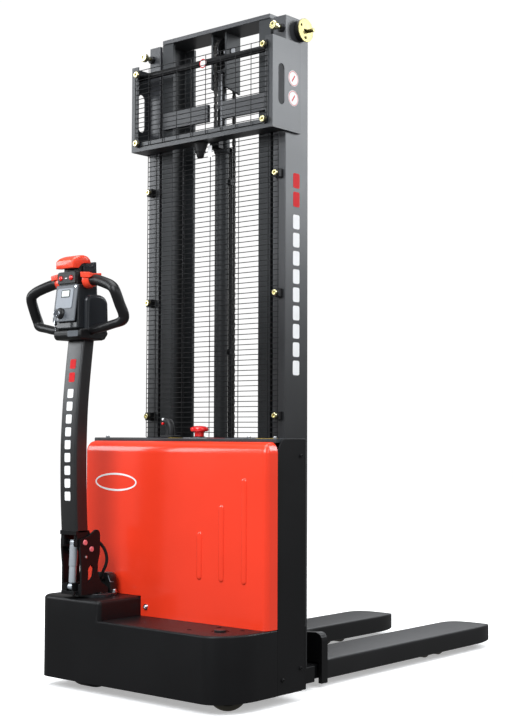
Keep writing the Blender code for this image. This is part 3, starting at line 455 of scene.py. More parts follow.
def bolt(at, axis, radius, out):
    """A socket head screw with a round recess. out is 1 or -1, the way that it points along the axis."""
    height = radius * 0.9
    edge = radius * 0.15
    head = turned(
        [(0, 0), (radius, 0), (radius, height - edge), (radius - edge, height),
         (radius * 0.55, height), (radius * 0.50, height * 0.35), (0, height * 0.35)],
        (0, 0, 0), "Z", 18,
    )
    if out < 0:
        bmesh.ops.scale(head, verts=head.verts, vec=(1, 1, -1))
    return moved(head, Matrix.Translation(at) @ axis_turn(axis))


def wire(start, end, radius):
    """A straight round wire between two points."""
    start, end = Vector(start), Vector(end)
    along = end - start
    shape = rod(radius, (0, 0, 0), "Z", 0, along.length, 6)
    return moved(shape, Matrix.Translation(start) @ along.to_track_quat("Z", "Y").to_matrix().to_4x4())


def tube_curve(name, points, radii, finish, body, replaces=(), resolution=8):
    """A round tube along a smooth line, whose radius may change along it."""
    curve = bpy.data.curves.new(name, "CURVE")
    curve.dimensions = "3D"
    curve.bevel_depth = 1.0
    curve.bevel_resolution = resolution
    curve.use_fill_caps = True
    spline = curve.splines.new("POLY")
    spline.points.add(len(points) - 1)
    for place, point, radius in zip(spline.points, points, radii):
        place.co = (*(Vector(point) + TRUCK), 1)
        place.radius = radius
    spline.use_smooth = True
    curve.materials.append(finish)
    made = bpy.data.objects.new(name, curve)
    bpy.context.scene.collection.objects.link(made)
    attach(made, body)
    if replaces:
        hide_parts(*replaces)
    return made


# ---- chassis, side plates, hood ------------------------------------------------------------------
def chassis_plan(inset, z):
    side, front = HALF_WIDTH - inset, FRONT + inset
    back, waist = -0.010 - inset, PLATE_FRONT - GAP - inset
    narrow = HALF_WIDTH - WALL - GAP - inset
    right, left = (0.092 - inset, 0.143 - inset), (0.050 - inset, 0.050 - inset)
    flat = [
        (narrow, back), (-narrow, back), (-narrow, waist), (-side, waist),
        *arc((-side + left[0], front + left[1]), left, 180, 270, 12),
        *arc((side - right[0], front + right[1]), right, -90, 0, 24),
        (side, waist), (narrow, waist),
    ]
    return [(x, y, z) for x, y in flat]


def housing_plan(inset, z):
    side, front = HALF_WIDTH - inset, FRONT + inset
    right, back = HOUSING_RIGHT - inset, PLATE_FRONT - 0.002 - inset
    left, corner = 0.050 - inset, 0.016 - inset * 0.7
    flat = [
        (right, back), (-side, back),
        *arc((-side + left, front + left), (left, left), 180, 270, 12),
        *arc((right - corner, front + corner), (corner, corner), -90, 0, 6),
    ]
    return [(x, y, z) for x, y in flat]


def shell_rings(plan, low, high, edge, steps=5):
    """Rings up the outside of a hollow tub, with a rounded upper edge."""
    rounding = [radians(90 * i / steps) for i in range(steps + 1)]
    return [plan(0, low), *(plan(edge * (1 - cos(a)), high - edge + edge * sin(a)) for a in rounding)]


def make_chassis(finish):
    inner = [chassis_plan(WALL, SHELF - WALL), chassis_plan(WALL, CHASSIS_BOTTOM)]
    tub = raw_object(
        "chassis_tub", lofted([*inner, *shell_rings(chassis_plan, CHASSIS_BOTTOM, SHELF, 0.007)]),
        finish["black"]
    )
    inner = [housing_plan(WALL, HOUSING_TOP - WALL), housing_plan(WALL, SHELF - 0.020)]
    booleaned(tub, "UNION", lofted([*inner, *shell_rings(housing_plan, SHELF - 0.020, HOUSING_TOP, 0.012)]))
    booleaned(
        tub, "DIFFERENCE",
        rod(0.0622, STEER, "Z", SHELF - 0.05, HOUSING_TOP + 0.05, 48),
        rod(0.026, CASTER, "Z", SHELF - 0.004, SHELF + 0.02, 40),
        rod(0.0165, CASTER, "Z", SHELF - 0.05, SHELF + 0.02, 32),
        *(rod(0.008, (x, y, 0), "Z", SHELF - 0.004, SHELF + 0.02, 24)
          for x, y in ((0.205, -0.325), (0.336, -0.238), (0.242, -0.235))),
    )
    finished(tub, "root", ["chassis"])
    wall = block((-0.392, -0.024, SHELF - 0.003), (0.392, -0.019, PLATE_TOP - 0.0125))
    piece("rear_wall", wall, finish["black"], "root", bevel=0.001)
    caps = [rounded_rod(0.0245, 0.001, CASTER, "Z", SHELF - 0.0038, SHELF - 0.0010, 40),
            rounded_rod(0.0185, 0.002, CASTER, "Z", SHELF - 0.0030, SHELF + 0.0055, 40)]
    piece("caster_bearing_cap", merged(*caps), finish["moulded"], "caster")
    for name, side in SIDES:
        front, back, top = PLATE_FRONT, PLATE_BACK, PLATE_TOP
        outline = [
            (back, CHASSIS_BOTTOM + 0.012), (back, top), (front + 0.035, top),
            *arc((front + 0.035, top - 0.063), (0.035, 0.063), 98, 180, 12), (front, CHASSIS_BOTTOM),
            (back - 0.012, CHASSIS_BOTTOM),
        ]
        limits = outward(side, HALF_WIDTH - WALL, HALF_WIDTH)
        piece(f"side_sheet_{name}", extruded(outline, "X", *limits), finish["black"], "root",
              [f"side_plate_{name}"], bevel=0.0016)
        near, far = outward(side, 0.384, HALF_WIDTH)
        flange = block((near, back - 0.0005, CHASSIS_BOTTOM + 0.014), (far, back + 0.0035, top - 0.001))
        piece(f"side_flange_{name}", flange, finish["black"], "root", bevel=0.0014)
        screws = merged(*(bolt((side * HALF_WIDTH, y, z), "X", 0.0055, side)
                          for y, z in ((-0.045, 0.100), (-0.045, 0.735), (-0.130, 0.075))))
        piece(f"side_screws_{name}", screws, finish["moulded"], "root")


def hood_plan(front_inset, side_inset, z):
    left, right = HOOD_LOW.x + side_inset, HOOD_HIGH.x - side_inset
    front, back = HOOD_LOW.y + front_inset, HOOD_HIGH.y
    radius = (max(0.018 - side_inset, 0.003), max(0.018 - front_inset, 0.003))
    flat = [
        (right, back), (left, back),
        *arc((left + radius[0], front + radius[1]), radius, 180, 270, 10),
        *arc((right - radius[0], front + radius[1]), radius, -90, 0, 10),
    ]
    return [(x, y, z) for x, y in flat]


def make_hood(finish):
    low, high, roll, steps, sheet = HOOD_LOW.z, HOOD_HIGH.z, 0.036, 10, 0.004
    angles = [radians(90 * i / steps) for i in range(steps + 1)]
    outside = [hood_plan(0, 0, low), hood_plan(0, 0, 0.40), hood_plan(0, 0, 0.60)]
    outside += [hood_plan(roll * (1 - cos(a)), 0.026 * (1 - cos(a)), high - roll + roll * sin(a))
                for a in angles]
    inside = [
        [(x, y + 0.004 if y > HOOD_HIGH.y - 0.01 else y, z) for x, y, z in hood_plan(sheet, sheet, height)]
        for height in (high - roll, low - 0.01)
    ]
    hood = raw_object("hood_shell", lofted(outside), finish["red"])
    booleaned(
        hood, "DIFFERENCE", lofted(inside),
        block((HOOD_LOW.x - 0.05, HOOD_LOW.y - 0.05, 0), (HOUSING_RIGHT + 0.0012, 0, HOUSING_TOP + 0.0010)),
    )
    ribs = []
    for x, bottom, top in ((0.132, 0.367, 0.493), (0.222, 0.366, 0.577), (0.312, 0.365, 0.659)):
        rings = []
        for reach, out in ((0.0105, -0.0005), (0.0100, 0.0012), (0.0080, 0.0026), (0.0050, 0.0034),
                           (0.0020, 0.0037)):
            lower = arc((x, bottom), (reach, reach), 180, 360, 12)
            upper = arc((x, top), (reach, reach), 0, 180, 12)
            rings.append([(a, HOOD_LOW.y - out, b) for a, b in lower + upper])
        ribs.append(lofted(rings))
    booleaned(hood, "UNION", *ribs)
    finished(hood, "root", ["hood"], sharp=50)
    middle, wide, tall = (-0.2365, 0.644), 0.0955, 0.029
    oval = extruded(arc(middle, (wide, tall), 0, 360, 64)[:-1], "Y", HOOD_LOW.y - 0.0006, HOOD_LOW.y)
    made = raw_object("hood_mark", oval, finish["white"])
    inner = arc(middle, (wide - 0.006, tall - 0.006), 0, 360, 64)[:-1]
    booleaned(made, "DIFFERENCE", extruded(inner, "Y", HOOD_LOW.y - 0.01, HOOD_LOW.y + 0.01))
    finished(made, "root")
    at = Vector((-0.095, HOOD_LOW.y, 0.255))
    screw = merged(bolt(at + Vector((0, -0.0015, 0)), "Y", 0.0065, -1),
                   ring(0.005, 0.0095, at, "Y", -0.0018, 0.0, 24))
    piece("hood_screw", screw, finish["steel"], "root")
    seal = block((HOOD_LOW.x + 0.03, HOOD_HIGH.y - 0.0005, high - 0.006),
                 (HOOD_HIGH.x - 0.03, HOOD_HIGH.y + 0.0035, high + 0.002))
    piece("hood_seal", seal, finish["rubber"], "root", bevel=0.0012)


def patch(corners, axis, level, thickness, radius=0.003):
    """A thin label with rounded corners, lying on a flat face."""
    return extruded(rounded_rectangle(*corners, radius), axis, level, level + thickness)


def make_top_panel(finish):
    low, high = local_box("top_panel")
    top, edge = PLATE_TOP, 0.003
    deck = [
        *arc((low.y + edge, top - edge), (edge, edge), 180, 90, 5),
        *arc((high.y - edge, top - edge), (edge, edge), 90, 0, 5),
        (high.y, top - 0.012), (low.y, top - 0.012),
    ]
    panel = raw_object("deck_panel", extruded(deck, "X", low.x, high.x), finish["deck"])
    grooves = [block((x - 0.0006, -0.145, top - 0.0012), (x + 0.0006, -0.035, top + 0.01))
               for x in (-0.185, 0.110, 0.300)]
    booleaned(panel, "DIFFERENCE", rod(0.0157, STOP, "Z", -0.1, 0.1, 40), *grooves)
    finished(panel, "root", ["top_panel"], bevel=0.0006)
    collar = turned([(0.0157, 0), (0.0200, 0), (0.0195, 0.0035), (0.0180, 0.005), (0.0157, 0.005)], STOP,
                    "Z", 48)
    piece("stop_collar", collar, finish["moulded"], "root")
    labels = (
        ("label_warning", "print_yellow", (-0.060, -0.147), (-0.022, -0.120)),
        ("label_stop", "white", (0.006, -0.148), (0.100, -0.128)),
        ("label_stripe", "print_red", (0.106, -0.148), (0.165, -0.122)),
        ("label_plate", "label", (0.180, -0.145), (0.255, -0.112)),
        ("label_lift", "print_yellow", (0.305, -0.148), (0.372, -0.118)),
    )
    for name, colour, start, end in labels:
        piece(name, patch((start, end), "Z", top, 0.0005), finish[colour], "root")
    heads = merged(*(bolt((x, -0.135, top), "Z", 0.0065, 1) for x in (-0.350, 0.270, 0.372)))
    piece("deck_screws", heads, finish["steel"], "root")
    base = Vector((-0.124, -0.070, top))
    foot = block(base + Vector((-0.027, -0.021, 0)), base + Vector((0.027, 0.021, 0.008)))
    piece("connector_foot", foot, finish["moulded"], "root", bevel=0.003, segments=3)
    stations = (
        (0.000, 0.0165, 0.0145, 0.006), (0.001, 0.0155, 0.0135, 0.022), (-0.001, 0.0150, 0.0130, 0.036),
        (-0.006, 0.0165, 0.0140, 0.048), (-0.012, 0.0170, 0.0140, 0.056), (-0.015, 0.0130, 0.0110, 0.0625),
        (-0.016, 0.0070, 0.0060, 0.0650),
    )
    rings = [
        [base + Vector((lean + a * cos(t), b * sin(t), z)) for t in (2 * pi * i / 28 for i in range(28))]
        for lean, a, b, z in stations
    ]
    piece("connector_handle", lofted(rings), finish["moulded"], "root", sharp=60)
    for name, colour, spot in (("white", "white", (-0.024, -0.008, 0.060)),
                               ("red", "stop", (-0.0235, -0.010, 0.046))):
        dot = rounded_rod(0.0042, 0.001, base + Vector(spot), "Y", -0.004, 0.004, 20)
        piece(f"connector_dot_{name}", dot, finish[colour], "root")
    cap = [
        (0, -0.010), (0.0150, -0.010), (0.0150, 0.0130), (0.0158, 0.0180), (0.0185, 0.0205),
        *arc((0.0245, 0.0275), (0.0045, 0.0070), -90, 90, 10), (0.0190, 0.0368), (0.0110, 0.0382),
        (0, 0.0386),
    ]
    piece("stop_mushroom", turned(cap, STOP, "Z", 56), finish["stop"], "emergency_stop",
          ["emergency_stop_button"])


# ---- mast ----------------------------------------------------------------------------------------
def channel(side, near, far, low, high):
    """A rolled C section that stands upright and opens towards the middle, with filleted roots."""
    back, flange, fillet = far - CHANNEL_WEB, CHANNEL_FLANGE, CHANNEL_FILLET
    outline = [
        (near, 0), (far, 0), (far, MAST_DEPTH), (near, MAST_DEPTH), (near, MAST_DEPTH - flange),
        *arc((back - fillet, MAST_DEPTH - flange - fillet), (fillet, fillet), 90, 0, 4),
        *arc((back - fillet, flange + fillet), (fillet, fillet), 0, -90, 4), (near, flange),
    ]
    return mirrored(extruded(outline, "Z", low, high), side)


def spans(bottom, top, count):
    """Equal lengths between two heights, with a small gap after each."""
    pitch = (top - bottom + MARK_GAP) / count
    return [(bottom + i * pitch, bottom + (i + 1) * pitch - MARK_GAP) for i in range(count)]


def make_outer_mast(finish):
    for name, side in SIDES:
        rail = channel(side, 0.250, 0.300, CHASSIS_BOTTOM, MAST_TOP)
        made = raw_object(f"outer_channel_{name}", rail, finish["mast"])
        booleaned(made, "DIFFERENCE", rod(0.0122, ROLLER_HUB, "X", *outward(side, 0.2903, 0.33)))
        finished(made, "root", ["outer_mast"] if side > 0 else (), bevel=0.0022)
        hub = ROLLER_HUB
        disc = rounded_rod(0.0375, 0.0008, hub, "X", *outward(side, 0.3175, 0.3225), 56)
        made = raw_object(f"roller_cap_{name}", disc, finish["disc"])
        slot = [*arc((hub.y - 0.007, hub.z), (0.0036, 0.0036), 90, 270, 8),
                *arc((hub.y + 0.004, hub.z), (0.0036, 0.0036), -90, 90, 8)]
        booleaned(
            made, "DIFFERENCE", extruded(slot, "X", *outward(side, 0.310, 0.330)),
            rod(0.0045, (0, hub.y - 0.022, hub.z + 0.013), "X", *outward(side, 0.310, 0.330), 24),
        )
        finished(made, "root", [f"mast_roller_cap_{name}"])
        pin = rounded_rod(0.0060, 0.001, hub + Vector((0, 0.014, 0)), "X", *outward(side, 0.3170, 0.3440),
                          28)
        screw = bolt((side * 0.3225, hub.y, hub.z - 0.024), "X", 0.0045, side)
        piece(f"roller_cap_pin_{name}", merged(pin, screw), finish["disc"], "root")
        core = rod(0.0118, hub, "X", *outward(side, 0.2915, 0.3010), 32)
        spacer = rounded_rod(0.0340, 0.001, hub, "X", *outward(side, 0.3003, 0.3174), 56)
        piece(f"roller_cap_spacer_{name}", merged(core, spacer), finish["moulded"], "root")
        at = (side * 0.286, 0, 2.080)
        head = turned(
            [(0, -0.0440), (0.0068, -0.0440), (0.0075, -0.0475), (0.0122, -0.0475), (0.0140, -0.0455),
             (0.0140, -0.0345), (0.0070, -0.0340), (0.0070, -0.0200), (0, -0.0200)],
            at, "Y", 32,
        )
        thread = rod(0.0060, at, "Y", -0.0205, -0.0075, 20)
        piece(f"adjuster_screw_{name}", merged(head, thread), finish["zinc"], "root",
              [f"mast_adjuster_{name}"])
        nut = turned([(0.0062, -0.0135), (0.0120, -0.0135), (0.0132, -0.0120), (0.0132, -0.0003),
                      (0.0062, -0.0003)], at, "Y", 6)
        piece(f"adjuster_nut_{name}", nut, finish["moulded"], "root", bevel=0.0005)
    ties = merged(*(block((-0.3, -0.012, z), (0.3, -0.001, z + height))
                    for z, height in ((0.300, 0.080), (0.620, 0.080), (1.757, 0.040))))
    piece("outer_ties", ties, finish["inside"], "root", bevel=0.0015)
    dressed("base_beam", finish["black"], 0.0025)
    stripes = (("print_red", 2, 1.517, 1.624), ("white", 9, 0.985, 1.492))
    for name, side in SIDES:
        for colour, count, bottom, top in stripes:
            marks = [patch(((0.040, low), (0.072, high)), "X", 0.3000, 0.0005, 0.006)
                     for low, high in spans(bottom, top, count)]
            piece(f"mast_marks_{colour}_{name}", mirrored(merged(*marks), side), finish[colour], "root")


def make_lift(finish):
    at = Vector((0, 0.038, 0))
    barrel = turned(
        [(0.0153, 0.0583), (0.0225, 0.0583), (0.0225, 1.722), (0.0245, 1.724), (0.0262, 1.728),
         (0.0262, 1.768),
         (0.0245, 1.774), (0.0225, 1.7795), (0.0153, 1.7795)],
        at, "Z", 40,
    )
    anchor = PULLEY.y - CHAIN_RADIUS
    lug = merged(
        block((-0.020, -0.0005, 1.735), (0.020, 0.022, 1.765)),
        block((-0.006, anchor - CHAIN_THICKNESS, 1.760), (0.006, anchor, 1.830)),
    )
    piece("lift_barrel", barrel, finish["inside"], "root", ["cylinder_barrel"])
    piece("chain_anchor", lug, finish["black"], "root", bevel=0.001)
    shaft = rounded_rod(0.0150, 0.001, at, "Z", 0.062, 1.9897, 40)
    piece("lift_rod", shaft, finish["rod"], "inner_mast", ["piston_rod"])
    cup = Vector((-0.026, -0.0385, 0))
    low, high = 1.700, 1.7495
    rings = [
        [(cup.x + (0.030 if z > 1.745 else half) * cos(t), cup.y + half * 0.7 * sin(t), z)
         for t in (2 * pi * i / 32 for i in range(32))]
        for half,
        z in ((0.008, low), (0.013, low + 0.004), (0.016, low + 0.016), (0.026, high - 0.002),
              (0.027, high))
    ]
    piece("hose_boot", lofted(rings), finish["moulded"], "root", sharp=50)
    band = ring(0.0150, 0.0178, cup, "Z", 1.7185, 1.7225, 32)
    piece("hose_boot_band", band, finish["rubber"], "root")
    tag = patch(((0.004, 1.700), (0.020, 1.738)), "Y", -0.034, 0.0008, 0.002)
    piece("hose_tag", tag, finish["white"], "root")
    for name, side in SIDES:
        rail = channel(side, 0.190, 0.240, 0.085, MAST_TOP + 0.001)
        piece(f"inner_channel_{name}", rail, finish["inside"], "inner_mast",
              ["inner_mast"] if side > 0 else (), bevel=0.0020)
        head = [(0.020, MAST_TOP + 0.001), (0.020, 1.940), (0.090, 1.925), (0.090, MAST_TOP + 0.001)]
        cheek = extruded(head, "X", *outward(side, 0.026, 0.034))
        piece(f"head_cheek_{name}", cheek, finish["inside"], "inner_mast", bevel=0.0012)
    # Painted shade: a black pipe with clips, drawn behind the lift cylinder to darken the gap between the
    # cylinder and the chain.
    pipe = rod(0.0068, (0.0200, 0.0600, 0), "Z", 0.130, 1.742, 24)
    clip = merged(*(block((0.002, 0.050, z), (0.0285, 0.0675, z + 0.018)) for z in (0.500, 1.060, 1.620)))
    piece("shade_fill_pipe", merged(pipe, clip), finish["black"], "root")
    cap = block((-0.237, -0.003, MAST_TOP + 0.0003), (0.237, 0.105, MAST_TOP + 0.0153))
    piece("mast_cap", cap, finish["mast"], "inner_mast", bevel=0.002)
    cross = merged(
        block((-0.225, -0.012, 1.826), (-0.020, 0.002, 1.883)),
        block((0.040, -0.012, 1.826), (0.225, 0.002, 1.883)),
        block((-0.026, 0.020, 1.990), (0.026, 0.070, 2.000)),
        block((-0.200, 0.001, 0.085), (0.200, 0.011, 0.145)),
    )
    piece("inner_ties", cross, finish["mast"], "inner_mast", bevel=0.0015)
    pin = merged(rounded_rod(0.0095, 0.001, PULLEY, "X", -0.030, 0.030, 28),
                 rounded_rod(0.014, 0.001, PULLEY, "X", -0.0375, -0.034, 28),
                 rounded_rod(0.014, 0.001, PULLEY, "X", 0.034, 0.0375, 28))
    piece("pulley_pin", pin, finish["rod"], "inner_mast")
    wheel = turned(
        [(0.010, -0.012), (0.016, -0.012), (0.018, -0.009), (0.034, -0.008), (0.037, -0.012),
         (0.050, -0.012), (0.050, -0.0095),
         (0.0425, -0.0072), (0.0425, 0.0072), (0.050, 0.0095), (0.050, 0.012), (0.037, 0.012),
         (0.034, 0.008), (0.018, 0.009),
         (0.016, 0.012), (0.010, 0.012)],
        PULLEY, "X", 56,
    )
    piece("chain_wheel", wheel, finish["rod"], "pulley", ["chain_pulley"])
    make_chain(finish)


def link_plates(centre, angle, offset):
    """Leaf chain plates round one pair of pins. Odd and even links interleave across the chain."""
    pitch, half, radius = CHAIN_PITCH, 0.0011, CHAIN_THICKNESS / 2
    outline = [
        *arc((0, pitch / 2), (radius, radius), 0, 180, 5),
        *arc((0, -pitch / 2), (radius, radius), 180, 360, 5),
    ]
    lanes = (-0.0048, 0.0, 0.0048) if offset else (-0.0024, 0.0024)
    turn = Matrix.Translation(centre) @ Matrix.Rotation(angle, 4, "X")
    return [moved(extruded(outline, "X", lane - half, lane + half), turn) for lane in lanes]


def chain_run(y, low, high):
    shapes, z, number = [], low + CHAIN_PITCH / 2, 0
    while z + CHAIN_PITCH / 2 <= high + 0.001:
        shapes += link_plates((0, y, z), 0, number % 2)
        half = CHAIN_PITCH / 2
        shapes.append(block((-0.0056, y - 0.0016, z - half), (0.0056, y + 0.0016, z + half)))
        if number % 2:
            shapes.append(rod(0.0018, (0, y, z + CHAIN_PITCH / 2), "X", -0.0062, 0.0062, 8))
        z += CHAIN_PITCH
        number += 1
    return merged(*shapes)


def make_chain(finish):
    y_front = PULLEY.y - CHAIN_RADIUS - CHAIN_THICKNESS / 2
    y_rear = PULLEY.y + CHAIN_RADIUS + CHAIN_THICKNESS / 2
    front = raw_object("chain_run_front", chain_run(y_front, 1.8303, PULLEY.z), finish["chain"])
    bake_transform(front)
    rear = raw_object("chain_run_rear", chain_run(y_rear, 0.4303, PULLEY.z), finish["chain"])
    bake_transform(rear)
    for made, node in ((front, "chain_front"), (rear, "chain_rear")):
        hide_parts(node)
    reach, count = CHAIN_RADIUS + CHAIN_THICKNESS / 2, 11
    shapes = []
    for i in range(count):
        angle = pi * (i + 0.5) / count
        centre = PULLEY + Vector((0, -reach * cos(angle), reach * sin(angle)))
        shapes += link_plates(centre, -angle, i % 2)
    piece("chain_over_wheel", merged(*shapes), finish["chain"], "inner_mast",
          ["chain_wrap"])


# ---- guards --------------------------------------------------------------------------------------
def make_guards(finish):
    half, low, high, y = 0.2865, 0.7885, 1.7485, -0.0170
    rows = int((high - low) / WIRE_PITCH)
    across = [wire((-half, y + 0.0013, low + i * WIRE_PITCH), (half, y + 0.0013, low + i * WIRE_PITCH),
                   0.0014) for i in range(rows + 1)]
    upright = [wire((x, y - 0.0012, low), (x, y - 0.0012, high), 0.0014)
               for x in (-half, -0.246, -0.123, 0.0, 0.123, 0.246, half)]
    piece("lower_mesh", merged(*across, *upright), finish["wire"], "root", ["lower_guard"],
          sharp=80)
    places = [(x, z) for x in (-0.279, 0.279) for z in (1.618, 1.241, 0.858)]
    tabs = merged(*(block((x - 0.012, -0.0195, z - 0.013), (x + 0.012, -0.0002, z + 0.013)) for x,
                    z in places))
    piece("lower_mesh_tabs", tabs, finish["wire"], "root", bevel=0.001)
    washers = merged(*(ring(0.004, 0.0120, (x, -0.0195, z), "Y", -0.0020, 0.0, 28) for x, z in places))
    piece("lower_mesh_washers", washers, finish["moulded"], "root")
    heads = merged(*(bolt((x, -0.0215, z), "Y", 0.0092, -1) for x, z in places))
    piece("lower_mesh_bolts", heads, finish["zinc"], "root")

    dressed("upper_guard", finish["guard"], 0.0016)
    front = local_box("upper_guard")[0].y
    half, low, high, y = 0.2895, 1.766, 2.0245, front - 0.0022
    rows = round((high - low) / 0.0165)
    pitch = (high - low) / rows
    across = [wire((-half, y, low + i * pitch), (half, y, low + i * pitch), 0.0013)
              for i in range(rows + 1)]
    columns = 9
    upright = [wire((-half + 2 * half * i / columns, y - 0.0018, low),
                    (-half + 2 * half * i / columns, y - 0.0018, high), 0.0013)
               for i in range(columns + 1)]
    piece("upper_mesh", merged(*across, *upright), finish["wire"], "root",
          ["upper_guard_mesh"], sharp=80)
    places = [(x, z) for x in (-0.279, 0.279) for z in (2.011, 1.776)]
    washers = merged(*(ring(0.004, 0.0130, (x, front - 0.0040, z), "Y", -0.0025, 0.0040, 28) for x,
                       z in places))
    piece("upper_mesh_washers", washers, finish["moulded"], "root")
    heads = merged(*(bolt((x, front - 0.0065, z), "Y", 0.0100, -1) for x, z in places))
    piece("upper_mesh_bolts", heads, finish["zinc"], "root")
    tube = rounded_rod(0.0105, 0.001, (0, -0.045, 2.010), "X", -0.3085, 0.3085, 32)
    piece("guard_tie_tube", tube, finish["black"], "root")
    disc = rounded_rod(0.0150, 0.0005, (0.0, -0.0560, 2.006), "Y", -0.0012, 0.0002, 32)
    piece("tube_sticker", disc, finish["white"], "root")
    rim = ring(0.0120, 0.0150, (0.0, -0.0573, 2.006), "Y", -0.0006, 0.0, 32)
    piece("tube_sticker_rim", rim, finish["print_red"], "root")
    for name, side in SIDES:
        for number, z in enumerate((1.920, 1.857)):
            disc = rod(0.0250, (0, 0.027, z), "X", *outward(side, 0.3100, 0.3106), 40)
            piece(f"round_sticker_{name}_{number}", disc, finish["white"], "root")
            rim = ring(0.0215, 0.0232, (0, 0.027, z), "X", *outward(side, 0.3105, 0.3109), 40)
            near, far = outward(side, 0.3105, 0.3109)
            dash = block((near, 0.025, z - 0.012), (far, 0.029, z + 0.012))
            slash = moved(dash, about((0, 0.027, z), Matrix.Rotation(radians(-35), 4, "X")))
            piece(f"round_sticker_mark_{name}_{number}", merged(rim, slash), finish["print_red"], "root")


# ---- carriage, forks, legs -----------------------------------------------------------------------
def fork_shape():
    outer, inner, tip = 0.312, 0.132, local_box("fork_right")[1].y
    heel, bottom, top, across, along, edge = 0.205, 0.024, 0.086, 0.075, 0.150, 0.005

    def plan(inset, z):
        radii, y = (across - inset, along - inset), tip - along
        flat = [
            (outer - inset, heel), *arc((outer - across, y), radii, 0, 90, 20),
            *arc((inner + across, y), radii, 90, 180, 20), (inner + inset, heel),
        ]
        return [(x, y, z) for x, y in flat]

    rings = [plan(0.003, bottom), plan(0, bottom + 0.003)]
    rings += [plan(edge * (1 - cos(a)), top - edge + edge * sin(a))
              for a in (radians(18 * i) for i in range(6))]
    shape = lofted(rings)
    for back in (0.155, 0.120, 0.090, 0.065, 0.040, 0.028, 0.017, 0.007):
        everything = shape.verts[:] + shape.edges[:] + shape.faces[:]
        bmesh.ops.bisect_plane(shape, geom=everything, plane_co=(0, tip - back, 0), plane_no=(0, 1, 0))
    for vertex in shape.verts:
        y, z = vertex.co.y, vertex.co.z
        share = (z - bottom) / (top - bottom)
        near_tip = max(0.0, (y - tip + 0.120) / 0.120)
        ramp = max(0.0, (y - tip + 0.040) / 0.040)
        vertex.co.z = (bottom + 0.018 * ramp) * (1 - share) + (top - 0.009 * near_tip**2) * share
    return shape


def make_carriage(finish):
    dressed("carriage_frame", finish["black"], 0.0020)
    for name, side in SIDES:
        fork = raw_object(f"fork_blade_{name}", mirrored(fork_shape(), side), finish["fork"])
        cavity = mirrored(block((0.140, 0.100, 0.010), (0.304, 1.150, 0.078)), side)
        booleaned(fork, "DIFFERENCE", cavity)
        finished(fork, "carriage", [f"fork_{name}"])
        for level in ("low", "high"):
            node = f"carriage_roller_{level}_{name}"
            low, high = local_box(node)
            at = Vector((0, (low.y + high.y) / 2, (low.z + high.z) / 2))
            profile = [
                (0.0125, low.x), (0.020, low.x), (0.022, low.x + 0.002), (0.036, low.x + 0.002),
                (0.039, low.x), (0.043, low.x),
                (0.045, low.x + 0.003), (0.045, high.x - 0.003), (0.043, high.x), (0.039, high.x),
                (0.036, high.x - 0.002),
                (0.022, high.x - 0.002), (0.020, high.x), (0.0125, high.x),
            ]
            piece(f"mast_bearing_{level}_{name}", turned(profile, at, "X", 48), finish["steel"], node,
                  [node])


def make_legs(finish):
    for name, _ in SIDES:
        dressed(f"leg_{name}", finish["black"], 0.003)
        dressed(f"bogie_{name}", finish["steel"], 0.0008)
        for number in (1, 2):
            node = f"load_roller_{name}_{number}"
            low, high = local_box(node)
            at = (low + high) / 2
            radius, half = (high.z - low.z) / 2, (high.x - low.x) / 2
            profile = [
                (0.0104, -half), (0.018, -half), (0.019, -half + 0.003), (0.026, -half + 0.003),
                (0.027, -half),
                *arc((radius - 0.006, -half + 0.006), (0.006, 0.006), -90, 0, 5),
                *arc((radius - 0.006, half - 0.006), (0.006, 0.006), 0, 90, 5),
                (0.027, half), (0.026, half - 0.003), (0.019, half - 0.003), (0.018, half), (0.0104, half),
            ]
            piece(f"load_wheel_{name}_{number}", turned(profile, at, "X", 48), finish["urethane"], node,
                  [node])


def make_wheels(finish):
    dressed("caster_fork", finish["steel"], 0.0015)
    low, high = local_box("caster_wheel")
    at, radius, half = (low + high) / 2, (high.z - low.z) / 2, CASTER_HALF
    tread = [
        (0.0085, -half), (0.016, -half), (0.018, -half + 0.004), (0.040, -half + 0.004), (0.044, -half),
        *arc((radius - 0.010, -half + 0.010), (0.010, 0.010), -90, 0, 6),
        *arc((radius - 0.010, half - 0.010), (0.010, 0.010), 0, 90, 6),
        (0.044, half), (0.040, half - 0.004), (0.018, half - 0.004), (0.016, half), (0.0085, half),
    ]
    heading = about(at, Matrix.Rotation(radians(CASTER_HEADING), 4, "Z"))
    piece("caster_tread", moved(turned(tread, at, "X", 56), heading), finish["urethane"], "caster_wheel",
          ["caster_wheel"])
    low, high = local_box("drive_wheel_tyre")
    at, radius, half = (low + high) / 2, (high.z - low.z) / 2, (high.x - low.x) / 2
    tyre = [
        (0.0660, -half), (0.080, -half), *arc((radius - 0.008, -half + 0.008), (0.008, 0.008), -90, 0, 6),
        *arc((radius - 0.008, half - 0.008), (0.008, 0.008), 0, 90, 6), (0.080, half), (0.0660, half),
    ]
    made = raw_object("drive_tread", turned(tyre, at, "X", 72), finish["rubber"])
    finished(made, "drive_wheel", ["drive_wheel_tyre"])
    dressed("drive_wheel_hub", finish["steel"], 0.001)
    nuts = merged(*(bolt((at.x - 0.0262, at.y + 0.046 * cos(a), at.z + 0.046 * sin(a)), "X", 0.006, -1)
                    for a in (2 * pi * i / 5 for i in range(5))))
    piece("drive_wheel_nuts", nuts, finish["zinc"], "drive_wheel")
    dressed("drive_gearcase", finish["black"], 0.002)
    dressed("battery_pack", finish["battery"], 0.004)
    dressed("motor_controller", finish["steel"], 0.002)
    dressed("hydraulic_power_pack", finish["black"], 0.002)


